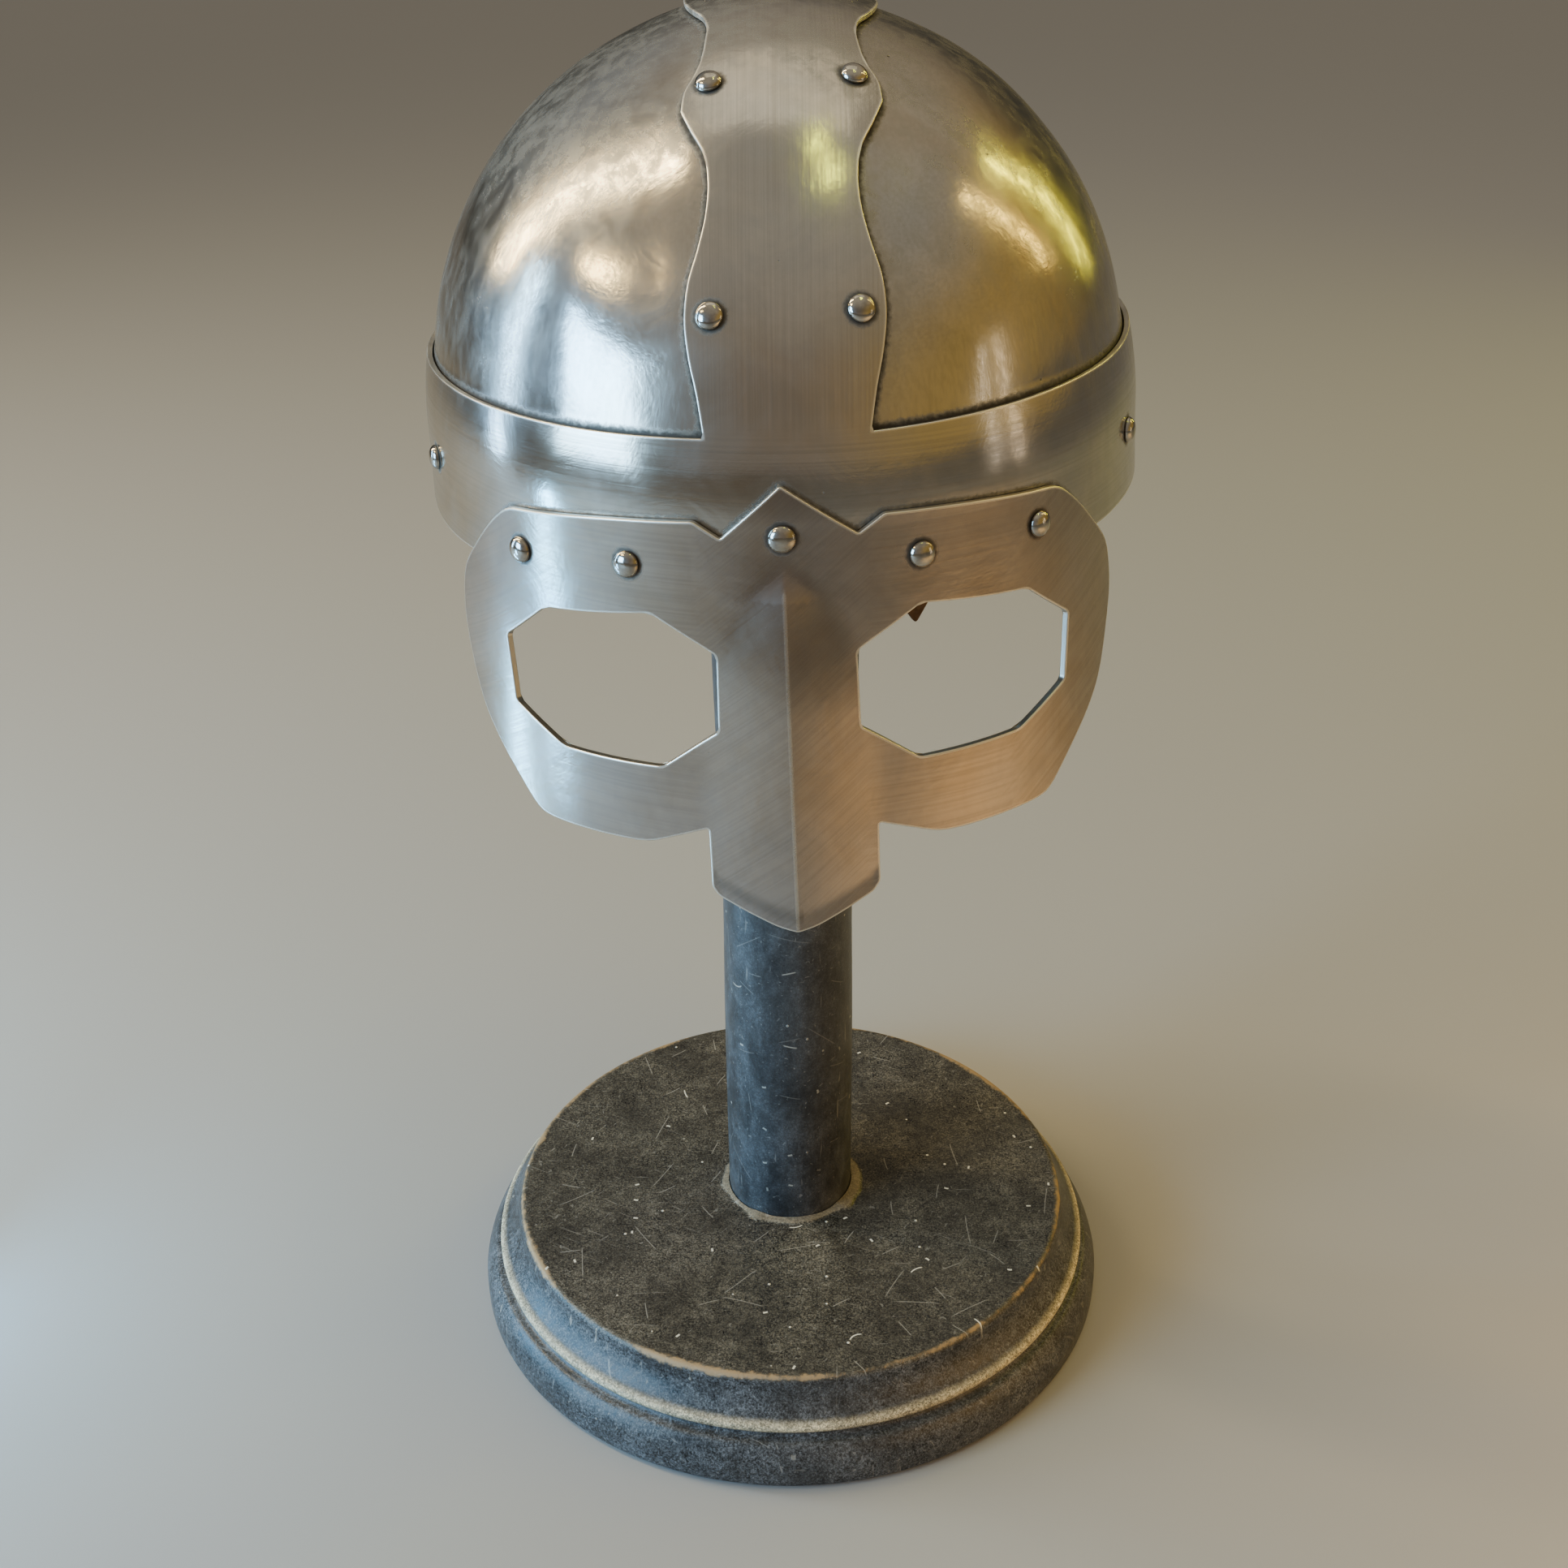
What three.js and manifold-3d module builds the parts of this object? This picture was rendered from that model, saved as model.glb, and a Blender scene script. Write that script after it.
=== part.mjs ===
// A norse iron spectacle helmet on a turned wooden stand, in millimetres with +Z up.
// The face of the helmet looks along -Y. The stand's underside lies on z = 0 and its axis is the Z axis.
import * as THREE from 'three';
import { mergeVertices } from 'three/addons/utils/BufferGeometryUtils.js';
import Module from 'manifold-3d';

const wasm = await Module();
wasm.setup();

// Helmet shape. Heights in the helmet are counted from the band's lower edge.
const bandHalfWidth = 99.5;
const bandHalfDepth = 113.9;
const bandHeight = 40;
const domeRise = 106.4;
const flare = 0.017;
const risePower = 1.823;
const roundPower = 1.984;
const frameSheet = 1.6;
const plateSheet = 1.4;
const guardSheet = 1.8;
const fit = 0.3;

// Ridge strap from front to back, and the windows beside it
const strapHalfWidth = 18.5;
const strapShift = 1.3;
const strapLean = 0.023;
const plateOverlap = 26.4;
const plateGap = 4;
const plateSwelling = 2.2;
// The swelling starts this share of the band's half width from the middle and is full this much further out
const swellEdge = 0.26;
const swellSpread = 0.26;
// It starts and ends at these shares of the way from the band to the crown
const swellFoot = 0.03;
const swellRun = 0.93;

// Spectacle guard
const guardHalfWidth = 85.2;
const browRise = 29.9;
const cheekDrop = 64.8;
const nasalHalfWidth = 21.4;
const nasalSideDrop = 74;
const nasalDrop = 84;
const creaseDepth = 5;
const creaseTop = 12;
const creaseRun = 16;
const lipReach = 2.6;

// Rivets
const rivetHeadRadius = 3.4;
const rivetHeadHeight = 2.3;
const rivetShankRadius = 1.5;
const rivetTailRadius = 2.5;
const rivetTailHeight = 1;
const facetSlack = 0.4;
const strapRivetHeights = [65.6, 110];
const strapRivetInset = 17.3;
const sideRivetHeight = 17.6;
const sideRivetTurn = 67;

// Leather tab behind the band
const tabHalfWidth = 7;
const tabSheet = 1.5;
const tabDrop = 9;

// Stand
const baseRadius = 108.6;
const baseHeight = 33.4;
const socketDepth = 12;
const postRadius = 21.4;
const postReach = 387.1;
const postCapRise = 21;

// How the helmet sits on the post
const seatLift = 0.3;
const helmetBack = 4.5;
const helmetRoll = 1.8;

// Fineness of the meshes
const roundSteps = 40;
const domeSteps = 8;
const rivetSteps = 7;
const holeSteps = 6;
const standSteps = 32;
const capSteps = 3;

const shoulder = bandHeight / 2;
const plateFoot = bandHeight - plateOverlap;
const degrees = Math.PI / 180;

// Strap edge: share of the way from the band to the crown, share of the strap's half width
const strapEdge = [
  [0, 1.05], [0.11, 1.13], [0.2, 1.22], [0.29, 1.26], [0.37, 1.21], [0.45, 1.08], [0.53, 0.975],
  [0.6, 0.945],
  [0.66, 1], [0.71, 1.17], [0.75, 1.3], [0.79, 1.26], [0.84, 1.09], [0.88, 1.02],
];
// Over the crown: share of the band's half depth in front of the middle, share of the strap's half width
const crownEdge = [[0.29, 0.985], [0.23, 1.06], [0.17, 1.2], [0.1, 1.31], [0.035, 1.36]];

// Guard outline for one half, as shares of the half width, then of the rise (up) or of the drop (down)
const guardUpper = [
  [0, 1], [0.185, 0.582], [0.258, 0.719], [0.5, 0.69], [0.8, 0.589], [0.869, 0.385], [0.945, 0.05],
  [0.983, -0.07], [1, -0.22],
];
const guardLower = [
  [1, -0.34], [0.975, -0.586], [0.937, -0.718], [0.793, -0.985], [0.749, -1], [0.533, -0.995],
  [0.436, -0.99], [0.357, -0.948],
];
const nasalTopShare = -0.895;
const nasalLower = [[0.92, 0.25], [0.57, 0.6], [0.23, 0.9], [0, 1]];
const eyeOutline = [
  [0.199, -0.177], [0.383, -0.032], [0.703, -0.09], [0.842, -0.262],
  [0.834, -0.539], [0.684, -0.657], [0.377, -0.651], [0.205, -0.478],
];
const guardRivets = [[-0.76, 0.26], [-0.437, 0.331], [0, 0.585], [0.385, 0.344], [0.735, 0.328]];
const tabRivet = guardRivets[3];
const guardRows = [0, 0.06, 0.35, 0.68, 0.85, 1];

// Base profile from the rim of the underside to the edge of the flat top, as shares of radius and height
const baseProfile = [
  [0.985, 0], [1, 0.06], [0.997, 0.25], [0.98, 0.38], [0.96, 0.455], [0.941, 0.475], [0.932, 0.515],
  [0.945, 0.55], [0.947, 0.605], [0.925, 0.662], [0.905, 0.74], [0.882, 0.88], [0.876, 0.965], [0.868, 1],
];

// Post profile as shares of its radius and of its length
const postProfile = [[1, 0], [1, 0.22], [0.98, 0.33], [1.05, 0.55], [1.05, 1]];

function paint(color, roughness, metalness) {
  return new THREE.MeshStandardMaterial({ color, roughness, metalness });
}

// Places on the helmet
function ringScale(height, offset) {
  if (height <= shoulder) return 1 + flare * (shoulder - height) / bandHeight;
  const rise = Math.min(1, (height - shoulder) / (domeRise + offset));
  return Math.pow(Math.max(0, 1 - Math.pow(rise, risePower)), 1 / roundPower);
}

function heightAtScale(scale, offset) {
  const rise = Math.pow(Math.max(0, 1 - Math.pow(scale, roundPower)), 1 / risePower);
  return shoulder + (domeRise + offset) * rise;
}

function shellPoint(turn, height, offset) {
  const scale = ringScale(height, offset);
  return new THREE.Vector3(
    (bandHalfWidth + offset) * scale * Math.sin(turn),
    -(bandHalfDepth + offset) * scale * Math.cos(turn),
    height,
  );
}

function pointOverPlan(x, y, offset) {
  const scale = Math.hypot(x / (bandHalfWidth + offset), y / (bandHalfDepth + offset));
  return new THREE.Vector3(x, y, heightAtScale(scale, offset));
}

function turnAcross(x, height, offset) {
  return Math.asin(Math.min(1, Math.max(-1, x / ((bandHalfWidth + offset) * ringScale(height, offset)))));
}

function turnAlong(y, height, offset) {
  return Math.acos(Math.min(1, Math.max(-1, -y / ((bandHalfDepth + offset) * ringScale(height, offset)))));
}

function shellNormal(turn, height, offset) {
  const step = 0.01;
  const across = shellPoint(turn + step, height, offset).sub(shellPoint(turn - step, height, offset));
  const upward = shellPoint(turn, height + step, offset).sub(shellPoint(turn, height - step, offset));
  return across.cross(upward).normalize();
}

// Closed meshes
function geometryFrom(points, faces) {
  const geometry = new THREE.BufferGeometry();
  const numbers = points.flatMap((p) => [p.x, p.y, p.z]);
  geometry.setAttribute('position', new THREE.Float32BufferAttribute(numbers, 3));
  geometry.setIndex(faces.flat());
  return geometry;
}

function turned(profile, steps) {
  return new THREE.LatheGeometry(profile.map(([r, up]) => new THREE.Vector2(r, up)), steps);
}

function bare(geometry) {
  const copy = geometry.clone();
  copy.deleteAttribute('normal');
  copy.deleteAttribute('uv');
  return mergeVertices(copy, 1e-4);
}

function solidFrom(geometry) {
  const shape = bare(geometry);
  const at = shape.attributes.position;
  const index = Uint32Array.from(shape.index.array);
  const corner = (k) => new THREE.Vector3().fromBufferAttribute(at, index[k]);
  let volume = 0;
  for (let k = 0; k < index.length; k += 3) {
    volume += corner(k).dot(corner(k + 1).cross(corner(k + 2)));
  }
  if (volume < 0) {
    for (let k = 0; k < index.length; k += 3) {
      [index[k + 1], index[k + 2]] = [index[k + 2], index[k + 1]];
    }
  }
  const vertProperties = Float32Array.from(at.array);
  return new wasm.Manifold(new wasm.Mesh({ numProp: 3, vertProperties, triVerts: index }));
}

function geometryOf(solid) {
  const mesh = solid.getMesh();
  const geometry = new THREE.BufferGeometry();
  geometry.setAttribute('position', new THREE.Float32BufferAttribute(mesh.vertProperties, 3));
  geometry.setIndex(Array.from(mesh.triVerts));
  return geometry;
}

function piece(name, solid, material) {
  const geometry = geometryOf(solid);
  geometry.computeVertexNormals();
  const mesh = new THREE.Mesh(geometry, material);
  mesh.name = name;
  return mesh;
}

function without(solid, cutters) {
  return cutters.reduce((left, cutter) => left.subtract(cutter), solid);
}

// A bent sheet between an outer and an inner skin, open at its four edges until they are closed here
function bentSheet(columns, rows, outer, inner) {
  const points = [];
  for (const skin of [outer, inner]) {
    for (let i = 0; i < columns; i += 1) {
      for (let j = 0; j < rows; j += 1) points.push(skin(i, j));
    }
  }
  const at = (side, i, j) => (side * columns + i) * rows + j;
  const faces = [];
  const quad = (a, b, c, d) => faces.push([a, b, c], [a, c, d]);
  for (let i = 0; i + 1 < columns; i += 1) {
    for (let j = 0; j + 1 < rows; j += 1) {
      quad(at(0, i, j), at(0, i + 1, j), at(0, i + 1, j + 1), at(0, i, j + 1));
      quad(at(1, i, j + 1), at(1, i + 1, j + 1), at(1, i + 1, j), at(1, i, j));
    }
    quad(at(1, i, 0), at(1, i + 1, 0), at(0, i + 1, 0), at(0, i, 0));
    quad(at(0, i, rows - 1), at(0, i + 1, rows - 1), at(1, i + 1, rows - 1), at(1, i, rows - 1));
  }
  const last = columns - 1;
  for (let j = 0; j + 1 < rows; j += 1) {
    quad(at(0, 0, j), at(0, 0, j + 1), at(1, 0, j + 1), at(1, 0, j));
    quad(at(1, last, j), at(1, last, j + 1), at(0, last, j + 1), at(0, last, j));
  }
  return solidFrom(geometryFrom(points, faces));
}

// A cup closed at the crown, between two offsets of the helmet's shape
function cupSolid(outerOffset, innerOffset, swell = () => 0) {
  const points = [];
  const faces = [];
  const rows = 2 + domeSteps;
  const skin = (offset) => {
    const start = points.length;
    for (let j = 0; j < rows; j += 1) {
      const swing = Math.max(0, j - 1) / domeSteps * 90 * degrees;
      const scale = Math.pow(Math.cos(swing), 2 / roundPower);
      const height = j === 0 ? 0 : heightAtScale(scale, offset);
      for (let i = 0; i < roundSteps; i += 1) {
        const turn = i / roundSteps * 360 * degrees;
        points.push(shellPoint(turn, height, offset + swell(turn, height)));
      }
    }
    points.push(new THREE.Vector3(0, 0, shoulder + domeRise + offset));
    return start;
  };
  const outer = skin(outerOffset);
  const inner = skin(innerOffset);
  const apex = rows * roundSteps;
  for (let i = 0; i < roundSteps; i += 1) {
    const k = (i + 1) % roundSteps;
    for (let j = 0; j + 1 < rows; j += 1) {
      const [a, b] = [j * roundSteps + i, j * roundSteps + k];
      const [c, d] = [b + roundSteps, a + roundSteps];
      faces.push([outer + a, outer + b, outer + c], [outer + a, outer + c, outer + d]);
      faces.push([inner + a, inner + c, inner + b], [inner + a, inner + d, inner + c]);
    }
    const top = (rows - 1) * roundSteps;
    faces.push([outer + top + i, outer + top + k, outer + apex]);
    faces.push([inner + top + k, inner + top + i, inner + apex]);
    faces.push([outer + k, outer + i, inner + i], [outer + k, inner + i, inner + k]);
  }
  return solidFrom(geometryFrom(points, faces));
}

// A cutter that carries an outline on the skin inwards and outwards
function coneCutter(outline, near, far, tip = far) {
  const middle = outline.reduce((sum, p) => sum.add(p), new THREE.Vector3()).divideScalar(outline.length);
  const points = [near(middle), tip(middle)];
  const faces = [];
  outline.forEach((p) => points.push(near(p), far(p)));
  for (let i = 0; i < outline.length; i += 1) {
    const [a, b] = [2 + 2 * i, 2 + 2 * ((i + 1) % outline.length)];
    faces.push([0, b, a], [1, a + 1, b + 1], [a, b, b + 1], [a, b + 1, a + 1]);
  }
  return solidFrom(geometryFrom(points, faces));
}

// Windows beside the strap
function strapHalfAt(share) {
  const last = strapEdge[strapEdge.length - 1];
  if (share >= last[0]) return strapHalfWidth * last[1];
  const k = strapEdge.findIndex((row) => row[0] > share);
  const [low, high] = [strapEdge[k - 1], strapEdge[k]];
  return strapHalfWidth * (low[1] + (high[1] - low[1]) * (share - low[0]) / (high[0] - low[0]));
}

const crownRise = shoulder + domeRise - bandHeight;

function strapMiddle(height) {
  return strapShift + strapLean * height;
}

function windowOutline(side) {
  const lowerPart = strapEdge.map(([share]) => {
    const height = bandHeight + share * crownRise;
    const edge = strapHalfAt(share) + side * strapMiddle(height);
    return shellPoint(turnAcross(edge, height, 0), height, 0);
  });
  const middle = side * strapMiddle(bandHeight + crownRise);
  const upperPart = crownEdge.map(([along, width]) => {
    return pointOverPlan(strapHalfWidth * width + middle, -along * bandHalfDepth, 0);
  });
  const frontEdge = [...lowerPart, ...upperPart];
  const backEdge = frontEdge.map((p) => new THREE.Vector3(p.x, -p.y, p.z)).reverse();
  const start = turnAcross(strapHalfAt(0) + side * strapMiddle(bandHeight), bandHeight, 0);
  const end = 180 * degrees - start;
  const steps = 24;
  const bandEdge = Array.from({ length: steps - 1 }, (_, i) => {
    return shellPoint(end + (start - end) * (i + 1) / steps, bandHeight, 0);
  });
  return [...frontEdge, ...backEdge, ...bandEdge].map((p) => new THREE.Vector3(p.x * side, p.y, p.z));
}

function windowCutter(side) {
  const heart = new THREE.Vector3(0, 0, shoulder);
  const scaled = (share) => (p) => p.clone().sub(heart).multiplyScalar(share).add(heart);
  return coneCutter(windowOutline(side), scaled(0.5), scaled(1.6), scaled(4));
}

// Rivets: where each one goes, how much sheet it holds and what it is called
function seat(turn, height, offset, grip, name) {
  return { name, grip, point: shellPoint(turn, height, offset), normal: shellNormal(turn, height, offset) };
}

const doubleGrip = frameSheet + fit + plateSheet;
const guardOuter = fit + guardSheet;
const strapSeats = [];
for (const [level, height] of strapRivetHeights.entries()) {
  const leftward = turnAcross(strapMiddle(height) - strapRivetInset, height, 0);
  const rightward = turnAcross(strapMiddle(height) + strapRivetInset, height, 0);
  const tier = ['low', 'high'][level];
  strapSeats.push(
    seat(rightward, height, 0, doubleGrip, `rivet_front_strap_${tier}_right`),
    seat(leftward, height, 0, doubleGrip, `rivet_front_strap_${tier}_left`),
    seat(180 * degrees - rightward, height, 0, doubleGrip, `rivet_back_strap_${tier}_right`),
    seat(180 * degrees - leftward, height, 0, doubleGrip, `rivet_back_strap_${tier}_left`),
  );
}
for (const [side, name] of [[1, 'rivet_crown_right'], [-1, 'rivet_crown_left']]) {
  const across = strapRivetInset + side * strapMiddle(bandHeight + crownRise);
  strapSeats.push(seat(side * 90 * degrees, pointOverPlan(across, 0, 0).z, 0, doubleGrip, name));
}
const sideTurn = sideRivetTurn * degrees;
const bandSeats = [
  seat(sideTurn, sideRivetHeight, 0, doubleGrip, 'rivet_band_front_right'),
  seat(-sideTurn, sideRivetHeight, 0, doubleGrip, 'rivet_band_front_left'),
  seat(180 * degrees - sideTurn, sideRivetHeight, 0, doubleGrip, 'rivet_band_back_right'),
  seat(180 * degrees + sideTurn, sideRivetHeight, 0, doubleGrip, 'rivet_band_back_left'),
];
const guardSeats = guardRivets.map(([across, up], i) => {
  const height = up * browRise;
  const turn = turnAcross(across * guardHalfWidth, height, guardOuter);
  const tab = guardRivets[i] === tabRivet ? tabSheet + fit + facetSlack : 0;
  return seat(turn, height, guardOuter, guardOuter + frameSheet + tab, `rivet_guard_${i + 1}`);
});
const seats = [...strapSeats, ...bandSeats, ...guardSeats];

const upright = new THREE.Vector3(0, 1, 0);

function holeCutter({ point, normal }) {
  const length = 16;
  const radius = rivetShankRadius + fit;
  const geometry = new THREE.CylinderGeometry(radius, radius, length, holeSteps);
  const turn = new THREE.Quaternion().setFromUnitVectors(upright, normal);
  geometry.applyMatrix4(new THREE.Matrix4().compose(point, turn, new THREE.Vector3(1, 1, 1)));
  return solidFrom(geometry);
}

function rivet({ name, grip, point, normal }) {
  const under = -(grip + 2 * fit + facetSlack);
  const profile = [
    [0, under - rivetTailHeight], [rivetTailRadius, under - rivetTailHeight], [rivetTailRadius, under],
    [rivetShankRadius, under], [rivetShankRadius, 0], [rivetHeadRadius, 0],
    [rivetHeadRadius * 0.78, rivetHeadHeight * 0.66], [0, rivetHeadHeight],
  ];
  const mesh = piece(name, solidFrom(turned(profile, rivetSteps)), paint(0xb9b6ae, 0.3, 1));
  mesh.quaternion.setFromUnitVectors(upright, normal);
  mesh.position.copy(point).addScaledVector(normal, fit);
  return mesh;
}

// Frame: brow band and the ridge strap from front to back, one welded piece
function frame() {
  const windows = [1, -1].map(windowCutter);
  const solid = without(cupSolid(0, -frameSheet), [...windows, ...seats.map(holeCutter)]);
  return piece('frame', solid, paint(0xb4b0a8, 0.35, 1));
}

// Skull plate: one half of the dome under the frame, swelling a little through its window
function swelling(turn, height) {
  const aside = ringScale(height, 0) * Math.abs(Math.sin(turn));
  const across = Math.min(1, Math.max(0, (aside - swellEdge) / swellSpread));
  const up = (height - bandHeight) / crownRise;
  return plateSwelling * across * Math.max(0, Math.sin(Math.PI * Math.min(1, (up - swellFoot) / swellRun)));
}

function skullPlate(name, side) {
  const skin = -frameSheet - fit;
  const reach = 2 * bandHalfDepth;
  const half = new THREE.BoxGeometry(reach, 2 * reach, reach);
  half.translate(side * (reach / 2 + plateGap), 0, reach / 2 + plateFoot);
  const holes = [...strapSeats, ...bandSeats].filter(({ point }) => point.x * side > 0);
  const dome = cupSolid(skin, skin - plateSheet, swelling);
  const solid = without(dome.intersect(solidFrom(half)), holes.map(holeCutter));
  return piece(name, solid, paint(0xa9a69f, 0.4, 1));
}

// Spectacle guard
function guardHeight(share) {
  return share >= 0 ? share * browRise : share * cheekDrop;
}

const onTurn = ([x, z]) => [turnAcross(x, z, guardOuter), z];
const upperLine = guardUpper.map(([x, z]) => onTurn([x * guardHalfWidth, guardHeight(z)]));
const nasalPoint = nasalDrop - nasalSideDrop;
const nasalLine = [
  [nasalHalfWidth, nasalTopShare * cheekDrop], [nasalHalfWidth, -nasalSideDrop],
  ...nasalLower.map(([x, down]) => [nasalHalfWidth * x, -nasalSideDrop - nasalPoint * down]),
];
const lowerLine = [
  ...guardLower.map(([x, z]) => [x * guardHalfWidth, guardHeight(z)]), ...nasalLine,
].map(onTurn).reverse();

function onLine(line, turn) {
  const k = line.findIndex((row) => row[0] >= turn);
  if (k < 0) return line[line.length - 1][1];
  if (k === 0) return line[0][1];
  const [low, high] = [line[k - 1], line[k]];
  return low[1] + (high[1] - low[1]) * (turn - low[0]) / (high[0] - low[0]);
}

function guardPoint(turn, height, offset, edgeShare) {
  const p = shellPoint(turn, height, offset);
  const inward = Math.max(0, 1 - Math.abs(p.x) / nasalHalfWidth);
  const down = Math.min(1, Math.max(0, (creaseTop - height) / creaseRun));
  const onNasal = Math.abs(turn) < turnAcross(nasalHalfWidth, -cheekDrop, guardOuter);
  const lip = onNasal && edgeShare === 0 ? lipReach : 0;
  return p.setY(p.y - creaseDepth * inward * down - lip);
}

function spectacleGuard() {
  const widest = Math.min(upperLine[upperLine.length - 1][0], lowerLine[lowerLine.length - 1][0]);
  const spacing = 6 * degrees;
  const closest = 0.05 * degrees;
  const marks = [...upperLine, ...lowerLine].map((row) => Math.min(row[0], widest));
  for (let turn = spacing; turn < widest; turn += spacing) {
    if (marks.every((mark) => Math.abs(mark - turn) > spacing / 3)) marks.push(turn);
  }
  marks.sort((a, b) => a - b);
  const half = marks.filter((mark, i) => i === 0 || mark - marks[i - 1] > closest);
  const turns = [...half.slice(1).reverse().map((turn) => -turn), ...half];
  const skin = (offset) => (i, j) => {
    const turn = turns[i];
    const low = onLine(lowerLine, Math.abs(turn));
    const high = onLine(upperLine, Math.abs(turn));
    return guardPoint(turn, low + (high - low) * guardRows[j], offset, guardRows[j]);
  };
  const plate = bentSheet(turns.length, guardRows.length, skin(guardOuter), skin(fit));
  const eyes = [1, -1].map((side) => {
    const outline = eyeOutline.map(([x, z]) => {
      const height = guardHeight(z);
      return shellPoint(turnAcross(x * guardHalfWidth, height, guardOuter), height, guardOuter);
    });
    const radial = (share) => (p) => new THREE.Vector3(p.x * share * side, p.y * share, p.z);
    return coneCutter(outline, radial(0.75), radial(1.3));
  });
  const solid = without(plate, [...eyes, ...guardSeats.map(holeCutter)]);
  return piece('spectacle_guard', solid, paint(0xb2aea6, 0.38, 1));
}

// Leather tab held behind the band by one of the guard's rivets
function liningTab() {
  const outer = -frameSheet - fit - facetSlack;
  const middle = turnAcross(tabRivet[0] * guardHalfWidth, 0, guardOuter);
  const half = tabHalfWidth / bandHalfWidth;
  const shares = [-1, -0.5, 0, 0.5, 1];
  const rows = [0, 0.5, 1];
  const skin = (offset) => (i, j) => {
    const turn = middle + shares[i] * half;
    const low = -tabDrop + (tabDrop + 1) * Math.abs(shares[i]);
    return shellPoint(turn, low + (plateFoot - fit - low) * rows[j], offset);
  };
  const solid = bentSheet(shares.length, rows.length, skin(outer), skin(outer - tabSheet));
  const hole = holeCutter(guardSeats[guardRivets.indexOf(tabRivet)]);
  return piece('lining_tab', without(solid, [hole]), paint(0x6b4a2b, 0.8, 0));
}

// Stand
const blackPaint = 0x16161a;

function standBase() {
  const socket = postRadius + fit;
  const profile = [
    [0, 0], ...baseProfile.map(([r, z]) => [r * baseRadius, z * baseHeight]),
    [socket, baseHeight], [socket, baseHeight - socketDepth], [0, baseHeight - socketDepth],
  ];
  const mesh = piece('stand_base', solidFrom(turned(profile, standSteps)), paint(blackPaint, 0.45, 0));
  mesh.rotation.x = Math.PI / 2;
  return mesh;
}

function standPost() {
  const foot = baseHeight - socketDepth + fit;
  const length = baseHeight + postReach - foot;
  const topRadius = postProfile[postProfile.length - 1][0] * postRadius;
  const cap = Array.from({ length: capSteps + 1 }, (_, i) => {
    const swing = i / capSteps * 90 * degrees;
    return [topRadius * Math.cos(swing), length - postCapRise * (1 - Math.sin(swing))];
  });
  const profile = [
    [0, 0], ...postProfile.slice(0, -1).map(([r, z]) => [r * postRadius, z * length]),
    ...cap.slice(0, -1), [0, length],
  ];
  const mesh = piece('stand_post', solidFrom(turned(profile, standSteps)), paint(blackPaint, 0.45, 0));
  mesh.rotation.x = Math.PI / 2;
  mesh.position.z = foot;
  return mesh;
}

const helmet = new THREE.Group();
helmet.add(frame());
helmet.add(skullPlate('skull_plate_right', 1), skullPlate('skull_plate_left', -1));
helmet.add(spectacleGuard(), liningTab(), ...seats.map(rivet));
const innerCrown = shoulder + domeRise - frameSheet - fit - plateSheet;
helmet.position.set(0, helmetBack, baseHeight + postReach + fit + seatLift - innerCrown);
helmet.rotation.y = -helmetRoll * degrees;

const part = new THREE.Group();
part.add(standBase(), standPost(), helmet);

export default part;
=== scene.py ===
# A norse iron helmet on its turned wooden stand. Lengths in the tables are millimetres, +Z up.
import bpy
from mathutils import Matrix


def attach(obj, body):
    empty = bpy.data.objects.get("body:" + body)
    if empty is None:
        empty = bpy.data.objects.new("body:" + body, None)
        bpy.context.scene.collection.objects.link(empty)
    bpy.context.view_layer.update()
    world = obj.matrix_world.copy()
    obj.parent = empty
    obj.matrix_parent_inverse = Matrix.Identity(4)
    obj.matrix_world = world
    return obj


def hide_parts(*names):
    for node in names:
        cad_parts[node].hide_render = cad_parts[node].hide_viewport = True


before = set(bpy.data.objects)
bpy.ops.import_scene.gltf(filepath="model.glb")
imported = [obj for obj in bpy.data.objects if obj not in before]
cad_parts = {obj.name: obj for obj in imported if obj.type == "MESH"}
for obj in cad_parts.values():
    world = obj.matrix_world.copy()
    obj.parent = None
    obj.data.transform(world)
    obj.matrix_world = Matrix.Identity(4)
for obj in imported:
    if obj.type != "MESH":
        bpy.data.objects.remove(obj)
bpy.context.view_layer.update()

import math
import random

import bpy
import numpy as np
from mathutils import Matrix, Vector
from mathutils.geometry import delaunay_2d_cdt
from mathutils.kdtree import KDTree

mm = 0.001

# The helmet's shape; heights count from the band's lower edge
helmet = {
    "halfWidth": 99.5, "halfDepth": 113.9, "bandHeight": 40, "domeRise": 106.4,
    "flare": 0.017, "flareRun": 4, "risePower": 1.823, "roundPower": 1.984,
    "back": 4.5, "lift": 298.0, "roll": 1.8,
    "frameSheet": 1.6, "plateSheet": 1.4, "guardSheet": 1.8, "fit": 0.3,
    "waveDepth": 0.16, "waveGain": 2.2, "waveLengths": (62, 41, 29), "wavesEach": 4, "waveSeed": 41,
}
quarterTurn, wholeTurn = math.pi / 2, math.pi * 2
shoulder = helmet["bandHeight"] / 2
meanRadius = (helmet["halfWidth"] + helmet["halfDepth"]) / 2
domeReach = meanRadius * math.pi / 2
underFrame = -helmet["frameSheet"] - helmet["fit"]  # the depth at which the frame's inner side is cleared


# Places on the helmet
def bandScale(drop):
    drop = np.maximum(drop, 0)
    return 1 + helmet["flare"] / helmet["bandHeight"] * drop * drop / (drop + helmet["flareRun"])


def ringScale(height, offset=0.0):
    rise = np.clip((height - shoulder) / (helmet["domeRise"] + offset), 0, 1)
    dome = (1 - rise ** helmet["risePower"]) ** (1 / helmet["roundPower"])
    return np.where(height > shoulder, dome, bandScale(shoulder - height))


def turnAcross(x, height, offset=0.0):
    share = x / ((helmet["halfWidth"] + offset) * ringScale(height, offset))
    return np.arcsin(np.clip(share, -1, 1))


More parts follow.
